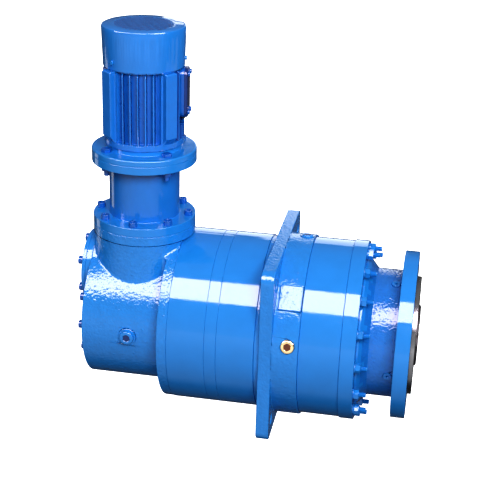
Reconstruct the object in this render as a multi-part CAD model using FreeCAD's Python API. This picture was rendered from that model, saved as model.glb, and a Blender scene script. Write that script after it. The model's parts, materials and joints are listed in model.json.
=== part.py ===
import FreeCAD, Part
import math
import os

# Right-angle planetary speed reducer with its vertical flange motor, in millimetres.
# The origin is the centre of the output flange face, +X points out of the output shaft
# and +Z points up along the motor. Stations run to the left from the output face, so most x are negative.

# Running and assembly clearances, all radial
RUN_GAP = 0.05
PILOT_GAP = 0.05
THREAD_GAP = 0.05
SCREW_GAP = 0.5
AIR_GAP = 0.4
SIDE_GAP = 0.5

# Lengths of the casings along the main axis, from the output face to the left
OUTPUT_DISC_T = 27.5
NECK_L = 70.0
END_FLANGE_T = 27.5
RING2_L = 76.5
CAST_L = 49.0
PLATE_T = 24.5
LIP_L = 10.0
MID_L = 71.5
SPACER_T = 22.5
RING1_L = 72.5
HOUSING_FLANGE_T = 19.5
BARREL_L = 155.0

# Outer radii of the casings
OUTPUT_DISC_R = 162.5
NECK_R = 124.0
CONE_L = 18.0
CONE_START = 3.5
STAGE2_R = 173.0
CONE_R = STAGE2_R - 28.0
END_FLANGE_R = STAGE2_R + 2.0
CAST_R = STAGE2_R + 4.0
STAGE1_R = 169.8
LIP_R = STAGE1_R - 1.3
HOUSING_FLANGE_R = STAGE1_R - 0.8
BARREL_R = 137.0
PLATE_HALF = 175.0
PLATE_CORNER_R = 22.0
PLATE_HOLE_HALF = 140.0
PLATE_HOLE_R = 11.0

# Walls and cavities
CAST_BLEND_R = 0.22 * (HOUSING_FLANGE_R - BARREL_R)
BARREL_WALL = 15.0
REAR_WALL = 16.0
RING1_WALL = 32.3
SPACER_WALL = 31.0
MID_WALL = 30.0
RING2_WALL = 30.0
CAST_WALL = 37.0
WEB_T = 24.0
WEB_SETBACK = 20.0
CARRIER_ROOM_R = CAST_R - CAST_WALL
CARRIER_ROOM_L = 12.0

# Output shaft, its bearings, cover ring and seal
OUT_SEAT_R = 75.0
OUT_BEARING_R = 112.5
OUT_BEARING_W = 36.0
OUT_SHOULDER_R = 104.0
OUT_CUP_LIP_R = 101.0
OUT_CUP_THIN_R = 109.5
OUT_CONE_LIP_R = 84.0
OUT_CONE_THICK_R = 90.0
ROLLER_INSET = 5.0
SPIGOT_R = 114.6
SPIGOT_L = 8.0
SPIGOT_PILOT_R = SPIGOT_R + 3.4
SPIGOT_PILOT_L = 8.0
SHAFT_END_R = 59.0
SHAFT_END_X = 12.0
OUT_SEAL_R = 80.0
OUT_SEAL_W = 12.0
SPLINE_TEETH = 18
SPLINE_BORE_R = 38.0
SPLINE_ROOT_R = 42.0
SPLINE_L = 90.0
CENTRING_R = 45.0
CENTRING_L = 14.0
SHAFT_NOTCHES = 4
SHAFT_NOTCH_W = 21.0
SHAFT_NOTCH_L = 4.0
SHAFT_NOTCH_TURN = math.radians(-12.0)
OUTPUT_HOLES = 12
OUTPUT_HOLE_PITCH_R = 142.5
OUTPUT_HOLE_R = 9.0

# Studs and nuts that close the output end
STUD_COUNT = 16
STUD_PITCH_R = STAGE2_R - 13.0
STUD_R = 5.0
STUD_GRIP = 26.0
STUD_PROUD = 24.0
NUT_AF = 17.0
NUT_H = 9.3
WASHER_R = 10.0
WASHER_T = 2.0

# Tie screws that clamp the first stage, sunk in the rear of the housing flange
TIE_PITCH_R = STAGE1_R - 15.8
TIE_STEPS = 8
TIE_UNDER_TURRET = 2
TIE_R = 6.0
TIE_HEAD_R = 9.0
TIE_HEAD_H = 12.0
TIE_SINK = 13.0
TIE_GRIP = 22.0

# Input turret, on the motor axis
MOTOR_X = -535.0
TURRET_FLANGE_T = 18.0
TURRET_TOP_Z = 190.0
TURRET_BORE_R = 74.0
PILOT_L = 8.0
TURRET_SCREWS = 8
TURRET_SCREW_PITCH_R = 87.0
TURRET_RIM_W = 12.0
TURRET_STEP = 1.0
TURRET_FLANGE_R = TURRET_SCREW_PITCH_R + TURRET_RIM_W
TURRET_R = TURRET_FLANGE_R - TURRET_STEP

# Boss of the layshaft above the main axis, rear cover and cap
LAY_BOSS_R = 72.0
LAY_BOSS_L = 11.0
LAY_CAP_T = 8.0
LAY_CAP_SCREWS = 6
LAY_CAP_PITCH_R = 57.0
COVER_R = 116.0
COVER_T = 4.0
COVER_PILOT_R = 94.0
COVER_NOSE_R = 52.0
COVER_SCREW_PITCH_R = 105.0
COVER_SCREW_STEPS = 12

# Sealed ball bearings: bore radius, outer radius, width
LAY_BEARING = (15.0, 31.0, 16.0)
SUN_BEARING = (15.0, 36.0, 17.0)
PINION_BEARING = (15.0, 31.0, 16.0)
CARRIER_BEARING = (30.0, 55.0, 22.0)
MOTOR_BEARING = (10.0, 23.5, 14.0)

# Gear teeth
PRESSURE_ANGLE = math.radians(25.0)
ADDENDUM = 0.8
DEDENDUM = 1.0
FLANK_RELIEF = 0.12
RING_RELIEF = 0.30
BEVEL_RELIEF = 0.25
PLANETS = 3
FIRST_PLANET_ANGLE = math.radians(90.0)

# First stage: sun, planet and ring teeth; the module fills the ring up to its wall
SUN1_TEETH = 12
PLANET1_TEETH = 18
RING1_TEETH = 48
MODULE1 = 2.0 * (STAGE1_R - RING1_WALL) / (RING1_TEETH + 2.0 * DEDENDUM)
FACE1 = 44.0

# Second stage
SUN2_TEETH = 12
PLANET2_TEETH = 15
RING2_TEETH = 42
MODULE2 = 2.0 * (STAGE2_R - RING2_WALL) / (RING2_TEETH + 2.0 * DEDENDUM)
FACE2 = 60.0

# Bevel pair and spur pair of the input
BEVEL_MODULE = 4.0
PINION_TEETH = 14
WHEEL_TEETH = 28
BEVEL_FACE = 18.0
WHEEL_HUB_L = 12.0
SPUR_MODULE = 3.0
LAY_PINION_TEETH = 15
INPUT_GEAR_TEETH = 40
SPUR_FACE = 24.0

# Planet carriers and pins
CARRIER_PLATE_T = 12.0
CARRIER_RIM = 19.5
POST_W = 26.0
POST_IN = 14.0
PIN1_R = 16.0
PIN2_R = 20.0
HUB1_R = 30.0
SUN2_STUB_R = 20.0
SUN2_STUB_L = 44.0
SUN_SHAFT_R = 15.0

# Adapter between turret and motor
ADAPTER_FLANGE_STEP = 0.1
ADAPTER_FLANGE_R = TURRET_FLANGE_R - ADAPTER_FLANGE_STEP
ADAPTER_FLANGE_T = 17.2
ADAPTER_TUBE_R = 67.7
ADAPTER_TUBE_WALL = 10.0
ADAPTER_TOP_FLANGE_Z = 314.0
MOTOR_FACE_Z = 329.6
ADAPTER_FLOOR_T = 12.0
NOSE_R = 44.0
NOSE_L = 44.0
COUPLING_R = 24.0
COUPLING_LOW_GRIP = 22.0
COUPLING_HIGH_GRIP = 30.0
PINION_STUB_R = 12.0
PINION_STUB_L = 42.0

# Flange motor
MOTOR_FLANGE_R = 100.0
MOTOR_FLANGE_T = 12.0
MOTOR_PILOT_R = 65.0
MOTOR_PILOT_H = 3.5
MOTOR_BOLT_PITCH_R = 82.5
MOTOR_COLLAR_R = 72.0
MOTOR_COLLAR_H = 10.0
FRAME_L = 146.0
FRAME_R = 65.0
CORE_R = 60.0
CORE_L = 95.0
CORE_BORE_R = 36.0
CORE_SETBACK = 24.0
WINDING_L = 15.0
WINDING_R = 56.0
WINDING_BORE_R = 40.0
FRAME_TURN = 5.5
FRAME_RING_H = 11.0
FIN_TIP_R = 76.0
FIN_T = 3.2
FIN_PITCH = 14.3
FINS_PER_SIDE = 7
FIN_TOP_GAP = 2.0
FIN_CHAMFER = 3.0
PAD_W = 25.0
PAD_FACE_R = 86.0
PAD_FOOT_L = 13.0
MOTOR_SHAFT_R = 9.5
MOTOR_SHAFT_L = 40.0
CORE_SHAFT_R = 15.0
TERMINAL_BASE = 67.0
TERMINAL_FACE = 78.0
TERMINAL_LID_T = 6.0
TERMINAL_W = 44.0
TERMINAL_H = 93.5
TERMINAL_LOW_Z = 403.5
TERMINAL_CORNER_R = 14.0
TERMINAL_WALL = 4.0
ENTRY_ROOM = 16.0
ENTRY_AF = 10.0
ENTRY_R = 3.6
ENTRY_H = 4.5

# Fan and cowl
COWL_LOW_Z = 499.5
COWL_H = 75.0
COWL_TOP_R = 78.5
COWL_LOW_R = COWL_TOP_R - 2.5
COWL_SHEET = 1.6
COWL_CORNER = 4.0
GRILLE_R = 58.0
GRILLE_SLOT_W = 4.0
GRILLE_PITCH = 8.0
GRILLE_ANGLE = 40.0
COWL_SCREW_ANGLES = (math.radians(-34.0), math.radians(99.0), math.radians(213.0))
COWL_SCREW_Z = 513.0
COWL_SEAT_WALL = 6.0
FAN_R = 60.0
FAN_HUB_R = 20.0
FAN_H = 34.0
FAN_BLADES = 7
FAN_BLADE_T = 2.6
REAR_SHIELD_T = 12.0

# Socket screws: shank radius, head radius, head height, socket across flats
M10 = (5.0, 8.0, 10.0, 8.0)
M4 = (2.0, 3.8, 3.0, 2.5)
M5 = (2.5, 4.6, 3.6, 3.0)

# Oil plugs: height angle above the near side, position along X
SIDE_PLUG_R = 13.0
SIDE_PLUG_PROUD = 4.0
SIDE_PLUG_SOCKET_AF = 11.0
SIDE_PLUG_THREAD_R = 10.5
BRASS_PLUG_X = -221.5
BRASS_PLUG_ANGLE = math.radians(11.4)
OIL_PLUG_R = 17.0
OIL_PLUG_THREAD_R = 11.0
TOP_PLUG_X = -217.0
TOP_PLUG_ANGLE = math.radians(98.0)
CAST_PAD_X = -224.0
CAST_PAD_ANGLE = math.radians(40.5)
CAST_PAD_L = 42.0
CAST_PAD_W = 48.0
CAST_PAD_PROUD = 2.5
SPOT_DEPTH = 1.2
GREASE_PLUG_R = 8.0
GREASE_THREAD_R = 5.0
GREASE_PLUG_X = -38.0
GREASE_ANGLES = (math.radians(74.0), math.radians(-15.0), math.radians(164.0), math.radians(-106.0))

# Stations along X, worked out from the lengths above
X_NECK = -OUTPUT_DISC_T
X_END_FLANGE = X_NECK - NECK_L
X_RING2_RIGHT = X_END_FLANGE - END_FLANGE_T
X_CAST_RIGHT = X_RING2_RIGHT - RING2_L
X_PLATE_RIGHT = X_CAST_RIGHT - CAST_L
X_PLATE_LEFT = X_PLATE_RIGHT - PLATE_T
X_MID_RIGHT = X_PLATE_LEFT - LIP_L
X_SPACER_RIGHT = X_MID_RIGHT - MID_L
X_RING1_RIGHT = X_SPACER_RIGHT - SPACER_T
X_SEAM = X_RING1_RIGHT - RING1_L
X_BARREL_RIGHT = X_SEAM - HOUSING_FLANGE_T
X_REAR = X_BARREL_RIGHT - BARREL_L

# Stations inside
X_OUT_BEARING2 = -SPIGOT_PILOT_L - OUT_BEARING_W
X_OUT_BEARING1 = X_RING2_RIGHT + CARRIER_ROOM_L
OUT_BEARINGS = ((X_OUT_BEARING1, False), (X_OUT_BEARING2, True))
X_CARRIER2_RIGHT = X_RING2_RIGHT + CARRIER_ROOM_L - SIDE_GAP
X_FACE2_RIGHT = X_CARRIER2_RIGHT - CARRIER_PLATE_T - SIDE_GAP
X_FACE2_LEFT = X_FACE2_RIGHT - FACE2
X_CARRIER2_LEFT = X_FACE2_LEFT - SIDE_GAP - CARRIER_PLATE_T
X_CARRIER1_RIGHT = X_RING1_RIGHT
X_FACE1_RIGHT = X_CARRIER1_RIGHT - CARRIER_PLATE_T - SIDE_GAP
X_FACE1_LEFT = X_FACE1_RIGHT - FACE1
X_CARRIER1_LEFT = X_FACE1_LEFT - SIDE_GAP - CARRIER_PLATE_T
X_WEB_RIGHT = X_MID_RIGHT - WEB_SETBACK
X_WEB_LEFT = X_WEB_RIGHT - WEB_T
X_HUB1_RIGHT = X_WEB_RIGHT + 4.0
X_COVER_OUT = X_REAR - COVER_T
X_BOSS_OUT = X_COVER_OUT - LAY_BOSS_L + COVER_T
X_CAP_OUT = X_BOSS_OUT - LAY_CAP_T
X_COVER_IN = X_REAR + REAR_WALL
X_SPUR_RIGHT = X_BARREL_RIGHT - 6.0
X_SPUR_LEFT = X_SPUR_RIGHT - SPUR_FACE
X_BEARING_RIGHT = X_SEAM - 1.0

# Raceway radii of the output bearings, at the narrow and the wide end
CUP_RADII = (OUT_CUP_LIP_R, OUT_CUP_THIN_R)
CONE_RADII = (OUT_CONE_LIP_R, OUT_CONE_THICK_R)

# Radii worked out from the teeth
CENTRES1 = MODULE1 * (SUN1_TEETH + PLANET1_TEETH) / 2.0
CENTRES2 = MODULE2 * (SUN2_TEETH + PLANET2_TEETH) / 2.0
CARRIER1_R = CENTRES1 + PIN1_R + CARRIER_RIM
CARRIER2_R = CENTRES2 + PIN2_R + CARRIER_RIM
WHEEL_R = BEVEL_MODULE * WHEEL_TEETH / 2.0
PINION_R = BEVEL_MODULE * PINION_TEETH / 2.0
CONE_DISTANCE = math.hypot(WHEEL_R, PINION_R)
BEVEL_INNER = 1.0 - BEVEL_FACE / CONE_DISTANCE
BEVEL_END = 8.0

# Height of the layshaft, which is the centre distance of the spur pair
LAY_Z = SPUR_MODULE * (LAY_PINION_TEETH + INPUT_GEAR_TEETH) / 2.0

# Heights on the motor axis
Z_ADAPTER_TOP = TURRET_TOP_Z + ADAPTER_FLANGE_T
Z_LOW_BEARING = TURRET_TOP_Z - NOSE_L + 4.0
Z_HIGH_BEARING = TURRET_TOP_Z + 4.0
Z_PINION_END = Z_ADAPTER_TOP + PINION_STUB_L
Z_SHAFT_LOW = MOTOR_FACE_Z - MOTOR_SHAFT_L
Z_MOTOR_FLANGE_TOP = MOTOR_FACE_Z + MOTOR_FLANGE_T
Z_FRAME_LOW = Z_MOTOR_FLANGE_TOP + MOTOR_COLLAR_H
Z_FRAME_TOP = Z_FRAME_LOW + FRAME_L
Z_CORE_LOW = Z_FRAME_LOW + CORE_SETBACK
Z_CORE_TOP = Z_CORE_LOW + CORE_L
Z_COWL_TOP = COWL_LOW_Z + COWL_H
Z_FAN_LOW = COWL_LOW_Z + 20.0

V = FreeCAD.Vector
ALONG_X = V(1, 0, 0)
ALONG_Z = V(0, 0, 1)
ORIGIN = V(0, 0, 0)


# Shape helpers

def rod_x(radius, left, right, y=0.0, z=0.0):
    return Part.makeCylinder(radius, right - left, V(left, y, z), ALONG_X)


def rod_z(radius, low, high, x=MOTOR_X, y=0.0):
    return Part.makeCylinder(radius, high - low, V(x, y, low), ALONG_Z)


def turned_x(profile, z=0.0):
    """Solid of revolution about a line along X at height z, from (x, radius) corners."""
    corners = [V(x, 0, r) for x, r in profile]
    face = Part.Face(Part.makePolygon(corners + [corners[0]]))
    solid = face.revolve(ORIGIN, ALONG_X, 360)
    solid.translate(V(0, 0, z))
    return solid


def turned_z(profile):
    """Solid of revolution about the motor axis, from (radius, z) corners."""
    corners = [V(r, 0, z) for r, z in profile]
    face = Part.Face(Part.makePolygon(corners + [corners[0]]))
    solid = face.revolve(ORIGIN, ALONG_Z, 360)
    solid.translate(V(MOTOR_X, 0, 0))
    return solid


def ring_x(outer, inner, left, right, z=0.0):
    return turned_x([(left, inner), (left, outer), (right, outer), (right, inner)], z)


def ring_z(outer, inner, low, high):
    return turned_z([(inner, low), (outer, low), (outer, high), (inner, high)])


def joined(*shapes):
    return shapes[0].multiFuse(list(shapes[1:])).removeSplitter()


def group(solids):
    return Part.makeCompound(solids)


def polar(radius, angle):
    """(y, z) of a point about the main axis, the angle taken from +Y towards +Z."""
    return radius * math.cos(angle), radius * math.sin(angle)


def circle_angles(count, first=0.0):
    return [first + 2.0 * math.pi * k / count for k in range(count)]


def polygon_x(points, left, right):
    """Prism along X from (y, z) corners."""
    corners = [V(left, y, z) for y, z in points]
    face = Part.Face(Part.makePolygon(corners + [corners[0]]))
    return face.extrude(V(right - left, 0, 0))


def hexagon_x(across, left, right, y=0.0, z=0.0):
    corner = across / math.sqrt(3.0)
    corners = [polar(corner, a) for a in circle_angles(6)]
    return polygon_x([(y + cy, z + cz) for cy, cz in corners], left, right)


def rounded_plate_x(half_y, half_z, corner, left, right, y=0.0, z=0.0):
    block = Part.makeBox(right - left, 2.0 * half_y, 2.0 * half_z, V(left, y - half_y, z - half_z))
    edges = [e for e in block.Edges if abs(e.tangentAt(e.FirstParameter).x) > 0.99]
    return block.makeFillet(corner, edges)


def upright(shape, x, y, z):
    """A piece made along +X from the origin, turned to point up and set at a place."""
    shape.rotate(ORIGIN, V(0, 1, 0), -90)
    shape.translate(V(x, y, z))
    return shape


def outward(shape, radius, angle, x):
    """A piece made along +X from the origin, turned to point out from the main axis.
    The angle is the height above the near side, which faces -Y."""
    shape.rotate(ORIGIN, ALONG_Z, -90)
    shape.rotate(ORIGIN, ALONG_X, -math.degrees(angle))
    shape.translate(V(x, -radius * math.cos(angle), radius * math.sin(angle)))
    return shape


def spot_hole(collar_r, thread_r, depth):
    """Threaded hole along -X with a flat seat for the collar of a plug."""
    seat = rod_x(collar_r + SCREW_GAP, -SPOT_DEPTH, 20.0)
    return seat.fuse(rod_x(thread_r + THREAD_GAP, -depth, 0.0))


def socket_screw(size, shank_l):
    """Socket head screw along +X, its head standing on x = 0 and its shank behind."""
    shank_r, head_r, head_h, socket = size
    head = rod_x(head_r, 0.0, head_h).fuse(rod_x(shank_r, -shank_l, 0.0))
    return head.removeSplitter().cut(hexagon_x(socket, head_h * 0.45, head_h + 1.0))


def hex_nut(across, bore, height):
    return hexagon_x(across, 0.0, height).cut(rod_x(bore, -1.0, height + 1.0))


# Gear tooth helpers

def involute(angle):
    return math.tan(angle) - angle


def half_tooth(teeth, module, radius, relief):
    """Half the angle of a tooth at a radius; each flank is set back by the relief."""
    pitch_r = teeth * module / 2.0
    base_r = pitch_r * math.cos(PRESSURE_ANGLE)
    at_radius = math.acos(min(1.0, base_r / radius))
    return math.pi / (2.0 * teeth) - relief / pitch_r + involute(PRESSURE_ANGLE) - involute(at_radius)


def toothed_outline(teeth, flank, phase):
    """(y, z) corners of a gear from (radius, half angle) pairs that run up one flank."""
    points = []
    for tooth in circle_angles(teeth, phase):
        points += [polar(r, tooth - half) for r, half in flank]
        points += [polar(r, tooth + half) for r, half in reversed(flank)]
    return points


def spur_outline(teeth, module, phase):
    pitch_r = teeth * module / 2.0
    radii = (pitch_r - DEDENDUM * module, pitch_r, pitch_r + ADDENDUM * module)
    flank = [(r, half_tooth(teeth, module, r, FLANK_RELIEF)) for r in radii]
    return toothed_outline(teeth, flank, phase)


def ring_space_outline(teeth, module, phase):
    """Outline of the tooth spaces of a ring gear, which have the form of outer teeth."""
    pitch_r = teeth * module / 2.0
    radii = (pitch_r - ADDENDUM * module, pitch_r + DEDENDUM * module)
    flank = [(r, half_tooth(teeth, module, r, -RING_RELIEF)) for r in radii]
    return toothed_outline(teeth, flank, phase)


def meshed_phase(direction, sun_phase, sun_teeth, planet_teeth):
    """Angle of a planet tooth that lets the planet mesh with the sun in a direction."""
    sun_part = sun_teeth * (direction - sun_phase) / (2.0 * math.pi)
    planet_part = 0.5 - sun_part
    return direction + math.pi - 2.0 * math.pi * planet_part / planet_teeth


def ring_phase(direction, planet_phase, planet_teeth, ring_teeth):
    """Angle of a ring tooth space that receives the planet's teeth."""
    planet_part = planet_teeth * (direction - planet_phase) / (2.0 * math.pi)
    return direction - 2.0 * math.pi * planet_part / ring_teeth


def bevel_outline(teeth, mate_teeth, phase):
    """(radius, angle) outline of a bevel gear on the plane through its outer pitch circle."""
    cone = math.atan2(teeth, mate_teeth)
    height = CONE_DISTANCE * math.cos(cone)
    equal_teeth = teeth / math.cos(cone)
    equal_r = equal_teeth * BEVEL_MODULE / 2.0
    flank = []
    for rise in (-DEDENDUM * BEVEL_MODULE, 0.0, ADDENDUM * BEVEL_MODULE):
        radius = height * math.tan(cone + math.atan2(rise, CONE_DISTANCE))
        half = half_tooth(equal_teeth, BEVEL_MODULE, equal_r + rise, BEVEL_RELIEF) / math.cos(cone)
        flank.append((radius, half))
    return toothed_outline(teeth, flank, phase), height


def bevel_blank(teeth, mate_teeth, height):
    """Turned blank of a bevel gear with its apex at the origin, between its front and back cones."""
    cone = math.atan2(teeth, mate_teeth)
    radius = height * math.tan(cone)
    across_x = math.sin(cone)
    across_r = math.cos(cone)
    front_x = height * BEVEL_INNER
    front_r = radius * BEVEL_INNER
    root = (DEDENDUM + 0.3) * BEVEL_MODULE
    return turned_x([
        (front_x - BEVEL_END * across_x, front_r + BEVEL_END * across_r),
        (height - BEVEL_END * across_x, radius + BEVEL_END * across_r),
        (height + root * across_x, radius - root * across_r),
        (height + root * across_x, 0.0),
        (front_x + BEVEL_END * across_x, 0.0),
        (front_x + BEVEL_END * across_x, front_r - BEVEL_END * across_r)])


def bevel_teeth(teeth, mate_teeth, phase, turned_outline):
    """Toothed body of a bevel gear, its axis along +X and its apex at the origin."""
    outline, height = bevel_outline(teeth, mate_teeth, phase)
    if turned_outline:
        outline = [(z, -y) for y, z in outline]
    return apex_frustum(outline, height).common(bevel_blank(teeth, mate_teeth, height))


def bevel_back(teeth, mate_teeth):
    """Distance from the apex to the back face of a bevel blank."""
    cone = math.atan2(teeth, mate_teeth)
    return CONE_DISTANCE * math.cos(cone) + (DEDENDUM + 0.3) * BEVEL_MODULE * math.sin(cone)


def apex_frustum(outline, height):
    """Solid with flat sides that run to an apex at the origin; the axis is +X."""
    middle = [V(height, y, z) for y, z in outline]
    far = [p * 1.25 for p in middle]
    near = [p * (BEVEL_INNER * 0.6) for p in middle]
    faces = [Part.Face(Part.makePolygon(far + [far[0]])), Part.Face(Part.makePolygon(near + [near[0]]))]
    for k in range(len(far)):
        n = (k + 1) % len(far)
        faces.append(Part.Face(Part.makePolygon([far[k], far[n], near[n], near[k], far[k]])))
    solid = Part.Solid(Part.Shell(faces))
    if solid.Volume < 0:
        solid.reverse()
    return solid


INPUT_GEAR_PHASE = math.pi / 2.0
LAY_PINION_PHASE = math.pi * 1.5 + math.pi / LAY_PINION_TEETH
SUN1_PHASE = 0.0
SUN2_PHASE = 0.0
PLANET_ANGLES = circle_angles(PLANETS, FIRST_PLANET_ANGLE)
PLANET1_PHASES = [meshed_phase(a, SUN1_PHASE, SUN1_TEETH, PLANET1_TEETH) for a in PLANET_ANGLES]
PLANET2_PHASES = [meshed_phase(a, SUN2_PHASE, SUN2_TEETH, PLANET2_TEETH) for a in PLANET_ANGLES]
RING1_PHASE = ring_phase(PLANET_ANGLES[0], PLANET1_PHASES[0], PLANET1_TEETH, RING1_TEETH)
RING2_PHASE = ring_phase(PLANET_ANGLES[0], PLANET2_PHASES[0], PLANET2_TEETH, RING2_TEETH)


# Places of the fasteners, shared by the screws and by their holes

def stud_places():
    return [polar(STUD_PITCH_R, a) for a in circle_angles(STUD_COUNT)]


def tie_places():
    angles = circle_angles(TIE_STEPS)
    return [polar(TIE_PITCH_R, a) for k, a in enumerate(angles) if k != TIE_UNDER_TURRET]


def cover_screw_places():
    """Screw places of the rear cover that its layshaft boss leaves free."""
    places = [polar(COVER_SCREW_PITCH_R, a) for a in circle_angles(COVER_SCREW_STEPS)]
    return [(y, z) for y, z in places if math.hypot(y, z - LAY_Z) > LAY_BOSS_R + M10[1]]


def cap_screw_places():
    places = [polar(LAY_CAP_PITCH_R, a) for a in circle_angles(LAY_CAP_SCREWS, math.pi / 6.0)]
    return [(y, LAY_Z + z) for y, z in places]


def turret_screw_places():
    return [polar(TURRET_SCREW_PITCH_R, a) for a in circle_angles(TURRET_SCREWS)]


def motor_bolt_places():
    return [polar(MOTOR_BOLT_PITCH_R, a) for a in circle_angles(4, math.pi / 4.0)]


def holes_x(places, radius, left, right):
    return [rod_x(radius, left, right, y, z) for y, z in places]


def holes_z(places, radius, low, high):
    return [rod_z(radius, low, high, MOTOR_X + x, y) for x, y in places]


# Input casing

def bevel_housing():
    barrel = rod_x(BARREL_R, X_REAR, X_SEAM)
    flange = rod_x(HOUSING_FLANGE_R, X_BARREL_RIGHT, X_SEAM)
    boss = rod_x(LAY_BOSS_R, X_REAR, MOTOR_X, 0.0, LAY_Z)
    flange_low = TURRET_TOP_Z - TURRET_FLANGE_T
    stem = rod_z(TURRET_R, 0.0, flange_low + 1.0)
    beyond = Part.makeBox(TURRET_R, 3.0 * TURRET_R, TURRET_TOP_Z, V(X_SEAM, -1.5 * TURRET_R, 0.0))
    behind = Part.makeBox(
        TURRET_R, 3.0 * TURRET_R, LAY_Z + LAY_BOSS_R + 1.0, V(X_REAR - TURRET_R, -1.5 * TURRET_R, 0.0))
    stem = stem.cut([beyond, behind])
    rim = rod_z(TURRET_FLANGE_R, flange_low, TURRET_TOP_Z)
    body = joined(barrel, flange, boss, stem, rim)
    body = body.makeFillet(CAST_BLEND_R, [e for e in body.Edges if is_cast_corner(e)])
    cavity = rod_x(BARREL_R - BARREL_WALL, X_COVER_IN, X_BARREL_RIGHT)
    shaft_room = rod_z(TURRET_BORE_R, LAY_Z, TURRET_TOP_Z + 1.0)
    shaft_room = shaft_room.cut(Part.makeBox(
        TURRET_R, 2.0 * TURRET_R, TURRET_TOP_Z - PILOT_L - 4.0, V(X_BARREL_RIGHT, -TURRET_R, 0.0)))
    mouth = rod_x(COVER_PILOT_R + PILOT_GAP, X_REAR - 1.0, X_COVER_IN + 1.0)
    nose = rod_x(COVER_NOSE_R + PILOT_GAP, X_REAR - 1.0, X_COVER_IN + 1.0, 0.0, LAY_Z)
    sun_seat = rod_x(SUN_BEARING[1], X_BARREL_RIGHT - 1.0, X_SEAM + 1.0)
    lay_seat = rod_x(LAY_BEARING[1], X_BARREL_RIGHT - 1.0, X_BEARING_RIGHT, 0.0, LAY_Z)
    plug_hole = outward(spot_hole(OIL_PLUG_R, OIL_PLUG_THREAD_R, 2.0 * BARREL_WALL), BARREL_R, 0.0, MOTOR_X)
    cuts = [cavity, shaft_room, mouth, nose, sun_seat, lay_seat, plug_hole]
    cuts += holes_x(tie_places(), TIE_R + SCREW_GAP, X_BARREL_RIGHT - 1.0, X_SEAM + 1.0)
    cuts += holes_x(tie_places(), TIE_HEAD_R + SCREW_GAP, X_BARREL_RIGHT - 1.0, X_BARREL_RIGHT + TIE_SINK)
    cuts += holes_x(cover_screw_places(), M10[0] + THREAD_GAP, X_REAR - 1.0, X_COVER_IN + 1.0)
    cuts += holes_z(turret_screw_places(), M10[0] + THREAD_GAP, flange_low + 2.0, TURRET_TOP_Z + 1.0)
    return body.cut(cuts)


def is_cast_corner(edge):
    """Inner corners of the input casting: where round walls cross and around the housing flange."""
    if edge.Curve.TypeId == "Part::GeomBSplineCurve":
        return True
    on_flange = all(abs(v.X - X_BARREL_RIGHT) < 0.1 for v in edge.Vertexes)
    return on_flange and min(math.hypot(v.Y, v.Z) for v in edge.Vertexes) < BARREL_R + 1.0


def oil_plugs():
    """Painted plugs: the oil level on the input casing and the filler on top of the cast ring."""
    level = plug(OIL_PLUG_R, OIL_PLUG_THREAD_R, BARREL_WALL)
    top = plug(SIDE_PLUG_R, SIDE_PLUG_THREAD_R, CAST_WALL * 0.5)
    return group([
        outward(level, BARREL_R, 0.0, MOTOR_X),
        outward(top, CAST_R, TOP_PLUG_ANGLE, TOP_PLUG_X)])


def plug(collar_r, thread_r, thread_l):
    """Collared plug along +X with a hexagon socket, seated in its spot face."""
    collar = rod_x(collar_r, -SPOT_DEPTH, SIDE_PLUG_PROUD)
    body = collar.fuse(rod_x(thread_r, -thread_l, 0.0)).removeSplitter()
    return body.cut(hexagon_x(SIDE_PLUG_SOCKET_AF, -thread_l * 0.5, SIDE_PLUG_PROUD + 1.0))


def brass_plug():
    return outward(plug(SIDE_PLUG_R, SIDE_PLUG_THREAD_R, CAST_WALL * 0.5), CAST_R, BRASS_PLUG_ANGLE, BRASS_PLUG_X)


def rear_cover():
    """Cover of the input casing, with the boss that carries the layshaft's rear bearing."""
    disc = rod_x(COVER_R, X_COVER_OUT, X_REAR)
    pilot = rod_x(COVER_PILOT_R, X_REAR, X_COVER_IN)
    boss = rod_x(LAY_BOSS_R, X_BOSS_OUT, X_REAR, 0.0, LAY_Z)
    nose = rod_x(COVER_NOSE_R, X_REAR, X_COVER_IN, 0.0, LAY_Z)
    body = joined(disc, pilot, boss, nose)
    lay_seat = rod_x(LAY_BEARING[1], X_BOSS_OUT - 1.0, X_BOSS_OUT + LAY_BEARING[2], 0.0, LAY_Z)
    lay_hole = rod_x(LAY_BEARING[1] - 4.0, X_BOSS_OUT, X_COVER_IN + 1.0, 0.0, LAY_Z)
    sun_seat = rod_x(SUN_BEARING[1], X_COVER_IN - SUN_BEARING[2] + 2.0, X_COVER_IN + 1.0)
    cuts = [lay_seat, lay_hole, sun_seat]
    cuts += holes_x(cover_screw_places(), M10[0] + SCREW_GAP, X_COVER_OUT - 1.0, X_REAR + 1.0)
    cuts += holes_x(cap_screw_places(), M10[0] + THREAD_GAP, X_BOSS_OUT - 1.0, X_REAR - 1.0)
    return body.cut(cuts)


def screws_on_left(places, face, shank_l):
    """Socket screws with their heads standing to the left of a face."""
    screws = []
    for y, z in places:
        screw = socket_screw(M10, shank_l)
        screw.rotate(ORIGIN, ALONG_Z, 180)
        screw.translate(V(face, y, z))
        screws.append(screw)
    return screws


def cover_screws():
    """Screws of the rear cover and of the layshaft cap."""
    cover = screws_on_left(cover_screw_places(), X_COVER_OUT, REAR_WALL)
    cap = screws_on_left(cap_screw_places(), X_CAP_OUT, LAY_CAP_T + LAY_BOSS_L - 2.0)
    return group(cover + cap)


def layshaft_cap():
    cap = rod_x(LAY_BOSS_R, X_CAP_OUT, X_BOSS_OUT, 0.0, LAY_Z)
    return cap.cut(holes_x(cap_screw_places(), M10[0] + SCREW_GAP, X_CAP_OUT - 1.0, X_BOSS_OUT + 1.0))


# First stage casing

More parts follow.
